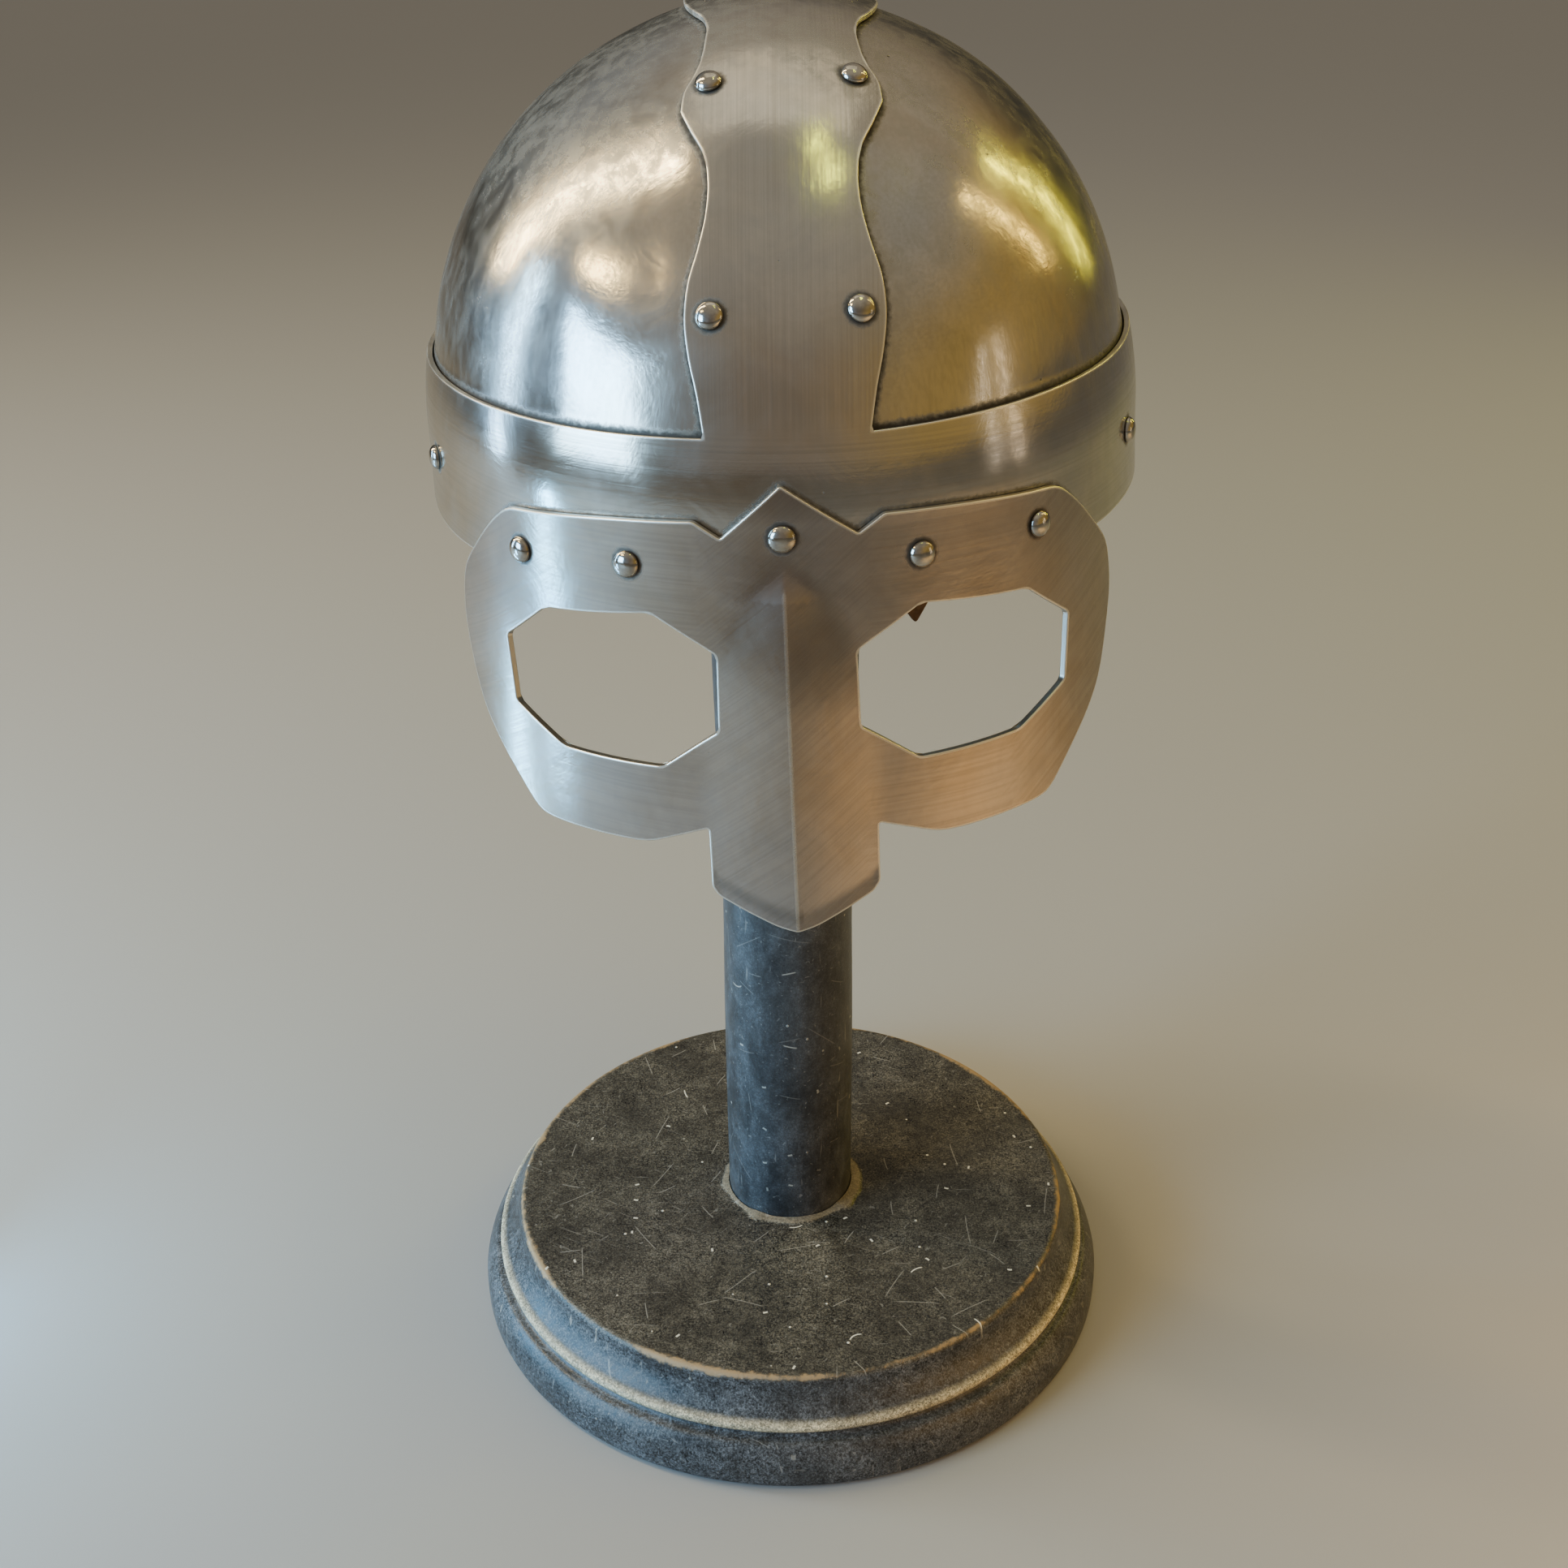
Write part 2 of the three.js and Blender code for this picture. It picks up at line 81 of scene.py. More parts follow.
# The chart lays the shell out flat: straight down from the crown is straight away from the middle
def fromPolar(reach, turn):
    return np.stack([reach * np.sin(turn), -reach * np.cos(turn)], -1)


def toPolar(chart):
    return np.hypot(chart[:, 0], chart[:, 1]), np.arctan2(chart[:, 0], -chart[:, 1])


def chartOf(turn, height, offset=0.0):
    rise = np.clip((height - shoulder) / (helmet["domeRise"] + offset), 0, 1)
    onDome = meanRadius * np.arccos(rise ** (helmet["risePower"] / 2))
    return fromPolar(np.where(height > shoulder, onDome, domeReach + shoulder - height), turn)


def chartOfPlan(x, y, offset=0.0):
    across = x / (helmet["halfWidth"] + offset)
    along = y / (helmet["halfDepth"] + offset)
    scale = np.clip(np.hypot(across, along), 0, 1)
    return fromPolar(meanRadius * np.arcsin(scale ** (helmet["roundPower"] / 2)), np.arctan2(across, -along))


# Long shallow waves, as hand-hammered sheet has
waveRandom = random.Random(helmet["waveSeed"])
waves = []
for waveLength in helmet["waveLengths"]:
    for step in range(helmet["wavesEach"]):
        heading = Vector((waveRandom.gauss(0, 1), waveRandom.gauss(0, 1), waveRandom.gauss(0, 1)))
        waves.append((np.array(heading.normalized()) * wholeTurn / waveLength,
                      waveRandom.uniform(0, wholeTurn), waveLength / helmet["waveLengths"][0]))


def waveAt(points):  # how far the sheet lies in at each place
    total = sum(size * np.sin(points @ heading + phase) for heading, phase, size in waves)
    most = sum(size for heading, phase, size in waves)
    return helmet["waveDepth"] * (1 + total / most * helmet["waveGain"])


def ringPoint(turn, scale, height, offset):
    x = (helmet["halfWidth"] + offset) * scale * np.sin(turn)
    y = -(helmet["halfDepth"] + offset) * scale * np.cos(turn)
    return np.stack([x, y, height + 0 * x], -1)


def shellPoint(turn, height, offset=0.0):
    return ringPoint(turn, ringScale(height, offset), height, offset)


def onShell(chart, offset):
    reach, turn = toPolar(chart)
    swing = np.clip(reach / meanRadius, 0, quarterTurn)
    rise = np.clip(np.cos(swing), 0, 1) ** (2 / helmet["risePower"])
    drop = reach - domeReach
    scale = np.where(drop > 0, bandScale(drop), np.sin(swing) ** (2 / helmet["roundPower"]))
    offset = offset - waveAt(ringPoint(turn, scale, shoulder + helmet["domeRise"] * rise, 0.0))
    height = np.where(drop > 0, shoulder - drop, shoulder + (helmet["domeRise"] + offset) * rise)
    return ringPoint(turn, scale, height, offset)


# The helmet leans a little on its post
rollAngle = math.radians(helmet["roll"])


def leaning(vectors):
    x, y, z = vectors.T
    return np.stack([x * math.cos(rollAngle) - z * math.sin(rollAngle), y,
                     x * math.sin(rollAngle) + z * math.cos(rollAngle)], -1)


def seated(points):
    return leaning(points) + (0, helmet["back"], helmet["lift"])


# Curves
def runAlong(path):
    return np.concatenate([[0], np.cumsum(np.linalg.norm(np.diff(path, axis=0), axis=1))])


def throughRows(rows, breaks=()):  # a smooth curve through rows of x and y, with corners at the breaks
    xs = np.array([row[0] for row in rows], float)
    ys = np.array([row[1] for row in rows], float)
    slopes = np.gradient(ys, xs)
    steps = np.diff(ys) / np.diff(xs)
    before, after = slopes.copy(), slopes.copy()
    for k in breaks:
        before[k], after[k] = steps[k - 1], steps[k]

    def value(x):
        x = np.clip(x, xs[0], xs[-1])
        k = np.clip(np.searchsorted(xs, x, side="right") - 1, 0, len(xs) - 2)
        span = xs[k + 1] - xs[k]
        t = (x - xs[k]) / span
        return ((1 + 2 * t) * (1 - t) ** 2 * ys[k] + t * (1 - t) ** 2 * span * after[k]
                + t * t * (3 - 2 * t) * ys[k + 1] + t * t * (t - 1) * span * before[k + 1])
    return value


def evenly(points, spacing, closed=True):
    path = np.vstack([points, points[:1]]) if closed else points
    run = runAlong(path)
    count = max(3, int(round(run[-1] / spacing)))
    marks = np.linspace(0, run[-1], count + 1)
    marks = marks[:-1] if closed else marks
    return np.stack([np.interp(marks, run, path[:, k]) for k in range(path.shape[1])], -1)


def roundedOutline(corners, spacing, arcSteps=7, mostCut=0.48):
    path = []
    count = len(corners)
    for k, (x, z, cut) in enumerate(corners):
        here = np.array([x, z])
        sides = [np.array(corners[(k + turn) % count][:2]) - here for turn in (-1, 1)]
        ends = [here + side / np.linalg.norm(side) * min(cut, mostCut * np.linalg.norm(side))
                for side in sides]
        for t in np.linspace(0, 1, arcSteps):
            path.append((1 - t) ** 2 * ends[0] + 2 * t * (1 - t) * here + t * t * ends[1])
    dense = []
    for k, point in enumerate(path):
        gap = path[(k + 1) % len(path)] - point
        parts = max(1, int(round(np.linalg.norm(gap) / spacing)))
        dense += [point + gap * part / parts for part in range(parts)]
    return np.array(dense)


def signedArea(loop):
    ahead = np.roll(loop, -1, axis=0)
    return 0.5 * np.sum(loop[:, 0] * ahead[:, 1] - ahead[:, 0] * loop[:, 1])


def insideLoop(loop, points):
    inside = np.zeros(len(points), bool)
    near = np.all((points > loop.min(0)) & (points < loop.max(0)), axis=1)
    x, y = points[near, 0][:, None], points[near, 1][:, None]
    ahead = np.roll(loop, -1, axis=0)
    crosses = (loop[:, 1] > y) != (ahead[:, 1] > y)
    run = np.where(ahead[:, 1] == loop[:, 1], 1, ahead[:, 1] - loop[:, 1])
    reached = loop[:, 0] + (y - loop[:, 1]) / run * (ahead[:, 0] - loop[:, 0])
    inside[near] = np.sum(crosses & (x < reached), axis=1) % 2 == 1
    return inside


def distances(others, points):
    tree = KDTree(len(others))
    for k, other in enumerate(others):
        tree.insert(other, k)
    tree.balance()
    return np.array([tree.find(point)[2] for point in points])


# Bent sheet metal with eased edges
def slopesOf(place, chart, offset):
    step = 0.02
    right, left = place(chart + (step, 0), offset), place(chart - (step, 0), offset)
    upper, lower = place(chart + (0, step), offset), place(chart - (0, step), offset)
    return (right - left) / (2 * step), (upper - lower) / (2 * step)


def unit(vectors):
    return vectors / np.linalg.norm(vectors, axis=1)[:, None]


def normalsOf(place, chart, offset):
    return unit(np.cross(*slopesOf(place, chart, offset)))


edgeSteps = ((1, 0, 0), (0.29, 0.29, 45), (0, 1, 90))  # share of the inset, share of the depth, lean
rimClear = 0.62  # the fill keeps this share of its spacing from an edge
sameSpot = 1e-5


def bentSheet(name, place, loops, fill, sheet, ease, spacing):
    turned = [loop if (signedArea(loop) > 0) == (k == 0) else loop[::-1] for k, loop in enumerate(loops)]
    insets, lefts, rims = [], [], []
    for loop in turned:  # how far each edge point moves in on the chart for 1 mm on the sheet
        skin = place(loop, 0.0)
        ahead = unit(np.roll(skin, -1, axis=0) - skin)
        heading = unit(ahead + unit(skin - np.roll(skin, 1, axis=0)))
        left = np.cross(normalsOf(place, loop, 0.0), heading)
        mitre = 1 / np.clip(np.sum(heading * ahead, axis=1), 0.5, 1)
        jacobian = np.stack(slopesOf(place, loop, 0.0), -1)
        square = np.einsum("nki,nkj->nij", jacobian, jacobian)
        pull = np.einsum("nki,nk->ni", jacobian, left * mitre[:, None])
        insets.append(np.linalg.solve(square, pull[:, :, None])[:, :, 0])
        lefts.append(left)
        rims.append(skin)
    rims = np.vstack(rims)
    fill = fill[distances(rims, place(fill, 0.0)) > rimClear * spacing + ease]
    for loop in turned[1:]:
        fill = fill[~insideLoop(loop, fill)]
    starts = np.cumsum([0] + [len(loop) for loop in turned]).tolist()
    edges = [(start + k, start + (k + 1) % len(loop)) for start, loop in zip(starts, turned)
             for k in range(len(loop))]
    flat = np.vstack([loop + inset * ease for loop, inset in zip(turned, insets)] + [fill])
    made = delaunay_2d_cdt([Vector(p) for p in flat], edges, [], 2, sameSpot)
    chart = np.array([tuple(p) for p in made[0]])
    faces = np.array(made[2], int)
    for loop in turned[1:]:
        faces = faces[~insideLoop(loop, chart[faces].mean(1))]
    # the triangles that are kept, all turned the same way
    newAt = {old: k for k, olds in enumerate(made[3]) for old in olds}
    used = np.unique(faces)
    slim = -np.ones(len(chart), int)
    slim[used] = np.arange(len(used))
    faces, chart = slim[faces], chart[used]
    corner = chart[faces]
    areas = np.cross(corner[:, 1] - corner[:, 0], corner[:, 2] - corner[:, 0])
    faces[areas < 0] = faces[areas < 0][:, ::-1]
    count = len(chart)
    skins = [place(chart, 0.0), place(chart, -sheet)]
    normals = [normalsOf(place, chart, 0.0), -normalsOf(place, chart, -sheet)]
    rimFill = [distances(rims, skins[0])] * 2
    allFaces = [faces, faces[:, ::-1] + count]
    total = 2 * count
    for loop, inset, left, start in zip(turned, insets, lefts, starts):  # the edge, from outside to inside
        size = len(loop)
        outerRing = np.array([slim[newAt[start + k]] for k in range(size)])
        rings = [outerRing]
        rows = [(share, -depth * ease, angle) for share, depth, angle in edgeSteps[1:]]
        rows += [(share, -(sheet - depth * ease), 180 - angle) for share, depth, angle in edgeSteps[:0:-1]]
        face = normalsOf(place, loop, 0.0)
        for share, offset, angle in rows:
            skins.append(place(loop + inset * ease * share, offset))
            normals.append(face * math.cos(math.radians(angle)) - left * math.sin(math.radians(angle)))
            rimFill.append(np.zeros(size))
            rings.append(total + np.arange(size))
            total += size
        rings.append(outerRing + count)
        for upper, lower in zip(rings, rings[1:]):
            upperNext, lowerNext = np.roll(upper, -1), np.roll(lower, -1)
            allFaces.append(np.stack([upper, lower, lowerNext], -1))
            allFaces.append(np.stack([upper, lowerNext, upperNext], -1))
    points = np.vstack(skins)
    piece = meshPiece(name, seated(points), np.vstack(allFaces).tolist(), leaning(np.vstack(normals)))
    keep(piece, "rim", np.concatenate(rimFill))
    return piece, points


def meshPiece(name, points, faces, normals=None, sharpAngle=None):
    mesh = bpy.data.meshes.new(name)
    mesh.from_pydata((points * mm).tolist(), [], faces)
    mesh.validate()
    mesh.polygons.foreach_set("use_smooth", np.ones(len(mesh.polygons), bool))
    if normals is not None:
        mesh.normals_split_custom_set_from_vertices(normals.tolist())
    if sharpAngle:
        mesh.set_sharp_from_angle(angle=math.radians(sharpAngle))
    piece = bpy.data.objects.new(name, mesh)
    bpy.context.scene.collection.objects.link(piece)
    return piece


def keep(piece, label, values):
    layer = piece.data.attributes.new(label, "FLOAT", "POINT")
    layer.data.foreach_set("value", np.asarray(values, np.float32))


def ringFill(spacing, outerReach, fewest=6):  # rings of points on the chart
    rows = [[(0.0, 0.0)]]
    for k in range(1, int(outerReach / spacing) + 1):
        reach = k * spacing
        girth = wholeTurn * meanRadius * math.sin(min(quarterTurn, reach / meanRadius))
        count = max(fewest, int(round(girth / spacing)))
        rows.append(fromPolar(reach, (np.arange(count) + 0.5 * (k % 2)) / count * wholeTurn))
    return np.vstack(rows)


# Frame: the brow band and the ridge strap from front to back, one piece
strap = {
    "halfWidth": 18.5, "shift": 1.3, "lean": 0.023,
    "edge": [[0, 1.05], [0.11, 1.13], [0.2, 1.22], [0.29, 1.26], [0.37, 1.21], [0.45, 1.08], [0.53, 0.975],
             [0.6, 0.945], [0.66, 1], [0.71, 1.17], [0.75, 1.3], [0.79, 1.26], [0.84, 1.09], [0.88, 1.02]],
    "crownEdge": [[0, 1.365], [0.035, 1.36], [0.1, 1.31], [0.17, 1.2], [0.23, 1.06], [0.29, 0.985]],
    "corner": 10, "spacing": 1.35, "outlineSpacing": 0.8, "ease": 0.32,
    "edgeRows": 170, "crownRows": 120, "bandRows": 300, "footRows": 860,
}
strapHalfAt = throughRows(strap["edge"], (strap["corner"],))
crownHalfAt = throughRows(strap["crownEdge"])
crownRise = shoulder + helmet["domeRise"] - helmet["bandHeight"]


def strapMiddle(height):
    return strap["shift"] + strap["lean"] * height


def windowLoop(side):
    bandTop = helmet["bandHeight"]
    shares = np.linspace(0, strap["edge"][-1][0], strap["edgeRows"])
    heights = bandTop + shares * crownRise
    across = strapHalfAt(shares) * strap["halfWidth"] + side * strapMiddle(heights)
    frontEdge = chartOf(turnAcross(across, heights), heights)
    crownEnd = strap["crownEdge"][-1][0]
    along = np.linspace(crownEnd, -crownEnd, strap["crownRows"])
    over = crownHalfAt(np.abs(along)) * strap["halfWidth"] + side * strapMiddle(bandTop + crownRise)
    crown = chartOfPlan(over, -along * helmet["halfDepth"])
    backEdge = frontEdge[::-1] * (1, -1)
    start = float(turnAcross(across[0], bandTop))
    bandTurns = np.linspace(math.pi - start, start, strap["bandRows"])
    bandEdge = chartOf(bandTurns, np.full(strap["bandRows"], float(bandTop)))
    edges = [evenly(part, strap["outlineSpacing"], closed=False)[:-1]
             for part in (np.vstack([frontEdge, crown, backEdge]), bandEdge)]
    return np.vstack(edges) * (side, 1)


halves = {"right": 1, "left": -1}
windows = {label: windowLoop(side) for label, side in halves.items()}
bandFoot = domeReach + shoulder
footLoop = fromPolar(bandFoot, np.arange(strap["footRows"]) / strap["footRows"] * wholeTurn)
framePiece, framePoints = bentSheet(
    "frame_sheet", onShell, [footLoop, *windows.values()], ringFill(strap["spacing"], bandFoot),
    helmet["frameSheet"], strap["ease"], strap["spacing"])
print("frame", len(framePiece.data.polygons), "faces")

# Skull plates: two halves of the dome, which swell a little through the windows
plate = {"gap": 4, "foot": 13.6, "swelling": 2.2, "spacing": 1.6, "outlineSpacing": 1.2, "ease": 0.2,
         "swellEdge": 0.26, "swellSpread": 0.26, "swellFoot": 0.03, "swellRun": 0.93,
         "sideRows": 8, "crownRows": 400, "footRows": 500}


def plateSkin(chart, offset):
    reach, turn = toPolar(chart)
    rise = np.cos(np.clip(reach / meanRadius, 0, quarterTurn)) ** (2 / helmet["risePower"])
    height = shoulder + helmet["domeRise"] * rise
    aside = ringScale(height) * np.abs(np.sin(turn))
    across = np.clip((aside - plate["swellEdge"]) / plate["swellSpread"], 0, 1)
    across = across * across * (3 - 2 * across)
    up = ((height - helmet["bandHeight"]) / crownRise - plate["swellFoot"]) / plate["swellRun"]
    swell = plate["swelling"] * across * np.sin(math.pi * np.clip(up, 0, 1))
    return onShell(chart, underFrame + swell + offset)


def plateLoop():
    gap, foot = plate["gap"], plate["foot"]
    low = np.linspace(foot, shoulder, plate["sideRows"])
    yAt = (helmet["halfDepth"] + underFrame) * math.cos(float(turnAcross(gap, shoulder, underFrame)))
    front = chartOf(turnAcross(gap, low, underFrame), low)
    rows = plate["crownRows"]
    crown = chartOfPlan(np.full(rows, gap), np.linspace(-yAt, yAt, rows), underFrame)
    start = float(turnAcross(gap, foot, underFrame))
    rows = plate["footRows"]
    footEdge = chartOf(np.linspace(math.pi - start, start, rows), np.full(rows, foot))
    parts = [front, crown, front[::-1] * (1, -1), footEdge]
    return evenly(np.vstack([part[:-1] for part in parts]), plate["outlineSpacing"])


halfLoop = plateLoop()
halfFill = ringFill(plate["spacing"], bandFoot - 10)
halfFill = halfFill[halfFill[:, 0] > plate["gap"] / 2]
plates = {}
for label, side in halves.items():
    piece, points = bentSheet(
        f"plate_sheet_{label}", plateSkin, [halfLoop * (side, 1)], halfFill * (side, 1),
        helmet["plateSheet"], plate["ease"], plate["spacing"])
    # distance from the frame's edge, for the line of dirt and painted shade beside it
    keep(piece, "seam", distances(plateSkin(windows[label], 0.0), points))
    plates[label] = piece
print("plates", sum(len(piece.data.polygons) for piece in plates.values()), "faces")

# Spectacle guard: peak, notches, eye holes, cheek curves and the creased nasal with its turned-out lip
guard = {
    "halfWidth": 85.2, "browRise": 29.9, "cheekDrop": 64.8, "nasalHalfWidth": 21.4,
    "nasalTop": -0.895, "nasalSideDrop": 74, "nasalDrop": 84, "nasalSlack": 0.6,
    "creaseDepth": 5, "creaseTop": 14, "creaseFull": -27, "creaseSoft": 14, "creaseRun": 3,
    "ridgeRound": 0.09, "lipReach": 0.55, "lipHeight": 6, "lipBend": 0.4, "notchShift": {1: 2.2, -1: -1.2},
    "spacing": 1.15, "outlineSpacing": 0.8, "ease": 0.38,
    "upper": [[0, 1, 0.8], [0.185, 0.582, 0.6], [0.258, 0.719, 0.8], [0.5, 0.69, 12], [0.8, 0.589, 3],
              [0.869, 0.385, 6], [0.945, 0.05, 8], [0.983, -0.07, 8], [1, -0.22, 8]],
    "lower": [[1, -0.34, 10], [0.975, -0.586, 10], [0.937, -0.718, 8], [0.793, -0.985, 4], [0.749, -1, 4],
              [0.533, -0.995, 4], [0.436, -0.99, 4], [0.357, -0.948, 3]],
    "nasalLower": [[0.92, 0.25, 1], [0.57, 0.6, 2], [0.23, 0.9, 2], [0, 1, 1.2]],
    "eye": [[0.199, -0.177], [0.383, -0.032], [0.703, -0.09], [0.842, -0.262],
            [0.834, -0.539], [0.684, -0.657], [0.377, -0.651], [0.205, -0.478]],
    "rivets": [[-0.76, 0.26], [-0.437, 0.331], [0, 0.585], [0.385, 0.344], [0.735, 0.328]],
    "fillAcross": (-98, 98.01), "fillUp": (-83, 30), "ridge": [-1.5, -1, -0.62, -0.3, 0, 0.3, 0.62, 1, 1.5],
}
guardOuter = helmet["fit"] + helmet["guardSheet"]
nasalReach = guard["nasalHalfWidth"] + guard["nasalSlack"]


def guardHeight(share):
    return share * (guard["browRise"] if share >= 0 else guard["cheekDrop"])


def guardHalf(side):
    wide = guard["halfWidth"]
    rows = [[x * wide, guardHeight(z), cut] for x, z, cut in guard["upper"] + guard["lower"]]
    for k in (1, 2):
        rows[k][0] += guard["notchShift"][side]
    nasal = guard["nasalHalfWidth"]
    rows += [[nasal, guardHeight(guard["nasalTop"]), 0.8], [nasal, -guard["nasalSideDrop"], 0.8]]
    point = guard["nasalDrop"] - guard["nasalSideDrop"]
    rows += [[nasal * x, -guard["nasalSideDrop"] - point * down, cut] for x, down, cut in guard["nasalLower"]]
    return rows


def guardChart(outline):
    turn = turnAcross(outline[:, 0], outline[:, 1], guardOuter)
    return np.stack([turn * meanRadius, outline[:, 1]], -1)


guardCorners = guardHalf(1) + [[-x, z, cut] for x, z, cut in guardHalf(-1)[-2:0:-1]]
guardOutline = roundedOutline(guardCorners, guard["outlineSpacing"])
nasalFoot = np.array(guardHalf(1)[:-6:-1])[:, :2]  # the nasal's lower edge, from its point out to the corner


def guardSkin(chart, offset):
    turn, height = chart[:, 0] / meanRadius, chart[:, 1]
    spread = guardOuter + offset - waveAt(shellPoint(turn, height))
    x, y, height = ringPoint(turn, ringScale(height), height, spread).T
    side = np.sqrt(x * x + guard["ridgeRound"])
    fold = np.clip((guard["creaseTop"] - height) / (guard["creaseTop"] - guard["creaseFull"]), 0, 1)
    fold = fold * (1 + fold * (1 - fold))
    inward = guard["nasalHalfWidth"] * fold * (1.25 - 0.25 * fold) - side
    inward = (inward + np.sqrt(inward * inward + guard["creaseSoft"])) / 2
    inward = inward * np.clip(fold * guard["creaseRun"], 0, 1)
    lowAt = np.interp(np.abs(x), nasalFoot[:, 0], nasalFoot[:, 1])
    lip = np.clip(1 - (height - lowAt) / guard["lipHeight"], 0, 1)
    bend = guard["lipBend"]
    lip = np.where(lip < bend, lip * lip / (2 * bend), lip - bend / 2) / (1 - bend / 2)
    onNasal = (np.abs(x) < nasalReach) & (height < -0.9 * guard["cheekDrop"])
    crease = guard["creaseDepth"] / guard["nasalHalfWidth"] * inward
    return np.stack([x, y - crease - guard["lipReach"] * lip * onNasal, height], -1)


guardLoops = [guardChart(guardOutline)]
for side in (1, -1):
    corners = [[x * guard["halfWidth"] * side, guardHeight(z), 1.0] for x, z in guard["eye"]]
    guardLoops.append(guardChart(roundedOutline(corners, guard["outlineSpacing"])))
columns = np.arange(*guard["fillAcross"], guard["spacing"])
columns = np.concatenate([columns[np.abs(columns) > 1.4], guard["ridge"]])  # closer beside the fold
rows = np.arange(*guard["fillUp"], guard["spacing"])
guardFill = np.array([(x, z + 0.5 * guard["spacing"] * (k % 2)) for k, x in enumerate(columns) for z in rows])
guardPiece, guardPoints = bentSheet(
    "guard_sheet", guardSkin, guardLoops, guardFill, helmet["guardSheet"], guard["ease"], guard["spacing"])
print("guard", len(guardPiece.data.polygons), "faces")

# Leather tab behind the band, held by one of the guard's rivets
tab = {"rivet": 3, "halfWidth": 7, "sheet": 1.5, "drop": 9, "foot": 13.6, "slack": 0.4, "ease": 0.3,
       "spacing": 0.9, "outlineSpacing": 0.6}

# Rivets: domed heads, shanks and hammered ends
rivet = {"headRadius": 3.4, "headHeight": 2.3, "skirt": 0.28, "domePower": 0.92, "proud": 0.05,
         "shankRadius": 1.5, "tailRadius": 2.5, "tailHeight": 1,
         "slack": 0.4, "heights": {"low": 65.6, "high": 110}, "inset": 17.3,
         "sideHeight": 17.6, "sideTurn": 67, "around": 40, "sharpAngle": 50, "seed": 7}
doubleGrip = helmet["frameSheet"] + helmet["fit"] + helmet["plateSheet"]


def rivetSeats():  # name, turn, height, offset from the shell, grip
    for label, side in halves.items():
        for tier, height in rivet["heights"].items():
            turn = float(turnAcross(side * rivet["inset"] + strapMiddle(height), height))
            yield f"front_strap_{tier}_{label}", turn, height, 0, doubleGrip
            yield f"back_strap_{tier}_{label}", math.pi - turn, height, 0, doubleGrip
        share = (rivet["inset"] + side * strapMiddle(helmet["bandHeight"] + crownRise)) / helmet["halfWidth"]
        rise = (1 - share ** helmet["roundPower"]) ** (1 / helmet["risePower"])
        yield f"crown_{label}", side * quarterTurn, shoulder + helmet["domeRise"] * rise, 0, doubleGrip
    aside = math.radians(rivet["sideTurn"])
    onBand = {"front_right": aside, "front_left": -aside,
              "back_right": math.pi - aside, "back_left": math.pi + aside}
    for where, turn in onBand.items():
        yield f"band_{where}", turn, rivet["sideHeight"], 0, doubleGrip
    for k, (across, up) in enumerate(guard["rivets"]):
        height = up * guard["browRise"]
        turn = float(turnAcross(across * guard["halfWidth"], height, guardOuter))
        lining = tab["sheet"] + helmet["fit"] + rivet["slack"] if k == tab["rivet"] else 0
        yield f"guard_{k + 1}", turn, height, guardOuter, guardOuter + helmet["frameSheet"] + lining


def makeRivet(label, turn, height, offset, grip, dice):
    if offset:
        place, chart = guardSkin, np.array([[turn * meanRadius, height]])
    else:
        place, chart = onShell, chartOf(np.array([turn]), np.array([height]))
    point, normal = place(chart, 0.0)[0], normalsOf(place, chart, 0.0)[0]
    radius = rivet["headRadius"] * dice.uniform(0.97, 1.0)
    tall = rivet["headHeight"] * dice.uniform(0.94, 1.0)
    swing = np.linspace(0, quarterTurn, 11)
    skirt = rivet["skirt"]
    profile = [(0, tall)]
    profile += [(radius * math.sin(s) ** rivet["domePower"], skirt + (tall - skirt) * math.cos(s))
                for s in swing[1:]]
    under = -(grip + helmet["fit"] + rivet["slack"])
    profile += [(radius * 0.985, 0.06), (radius * 0.95, 0.0), (rivet["shankRadius"], 0.0),
                (rivet["shankRadius"], under), (rivet["tailRadius"], under)]
    tail = [(rivet["tailRadius"] * math.cos(s), under - rivet["tailHeight"] * math.sin(s))
            for s in swing[2::2]]
    profile += tail[:-1] + [(0, under - rivet["tailHeight"])]
    points, faces = lathe(profile, rivet["around"])
    wobble = 1 + 0.012 * np.sin(2 * np.arctan2(points[:, 1], points[:, 0]) + dice.uniform(0, 6))
    points[:, :2] *= np.minimum(wobble, 1.0)[:, None]
    aim = Vector(normal).to_track_quat("Z", "Y").to_matrix()
    points = points @ np.array(aim).T + point + normal * rivet["proud"]
    piece = meshPiece(f"rivet_dome_{label}", seated(points), faces, sharpAngle=rivet["sharpAngle"])
    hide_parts(f"rivet_{label}")
    return piece, point


def lathe(profile, around):
    points, faces, rings = [], [], []
    turn = np.arange(around) / around * wholeTurn
    for radius, height in profile:
        count = around if radius else 1  # one point where the profile meets the axis
        rings.append([len(points) + k % count for k in range(around)])
        points += [(radius * math.cos(t), radius * math.sin(t), height) for t in turn[:count]]
    for upper, lower in zip(rings, rings[1:]):
        for k in range(around):
            n = (k + 1) % around
            faces.append(tuple(dict.fromkeys((upper[k], lower[k], lower[n], upper[n]))))
    return np.array(points), faces


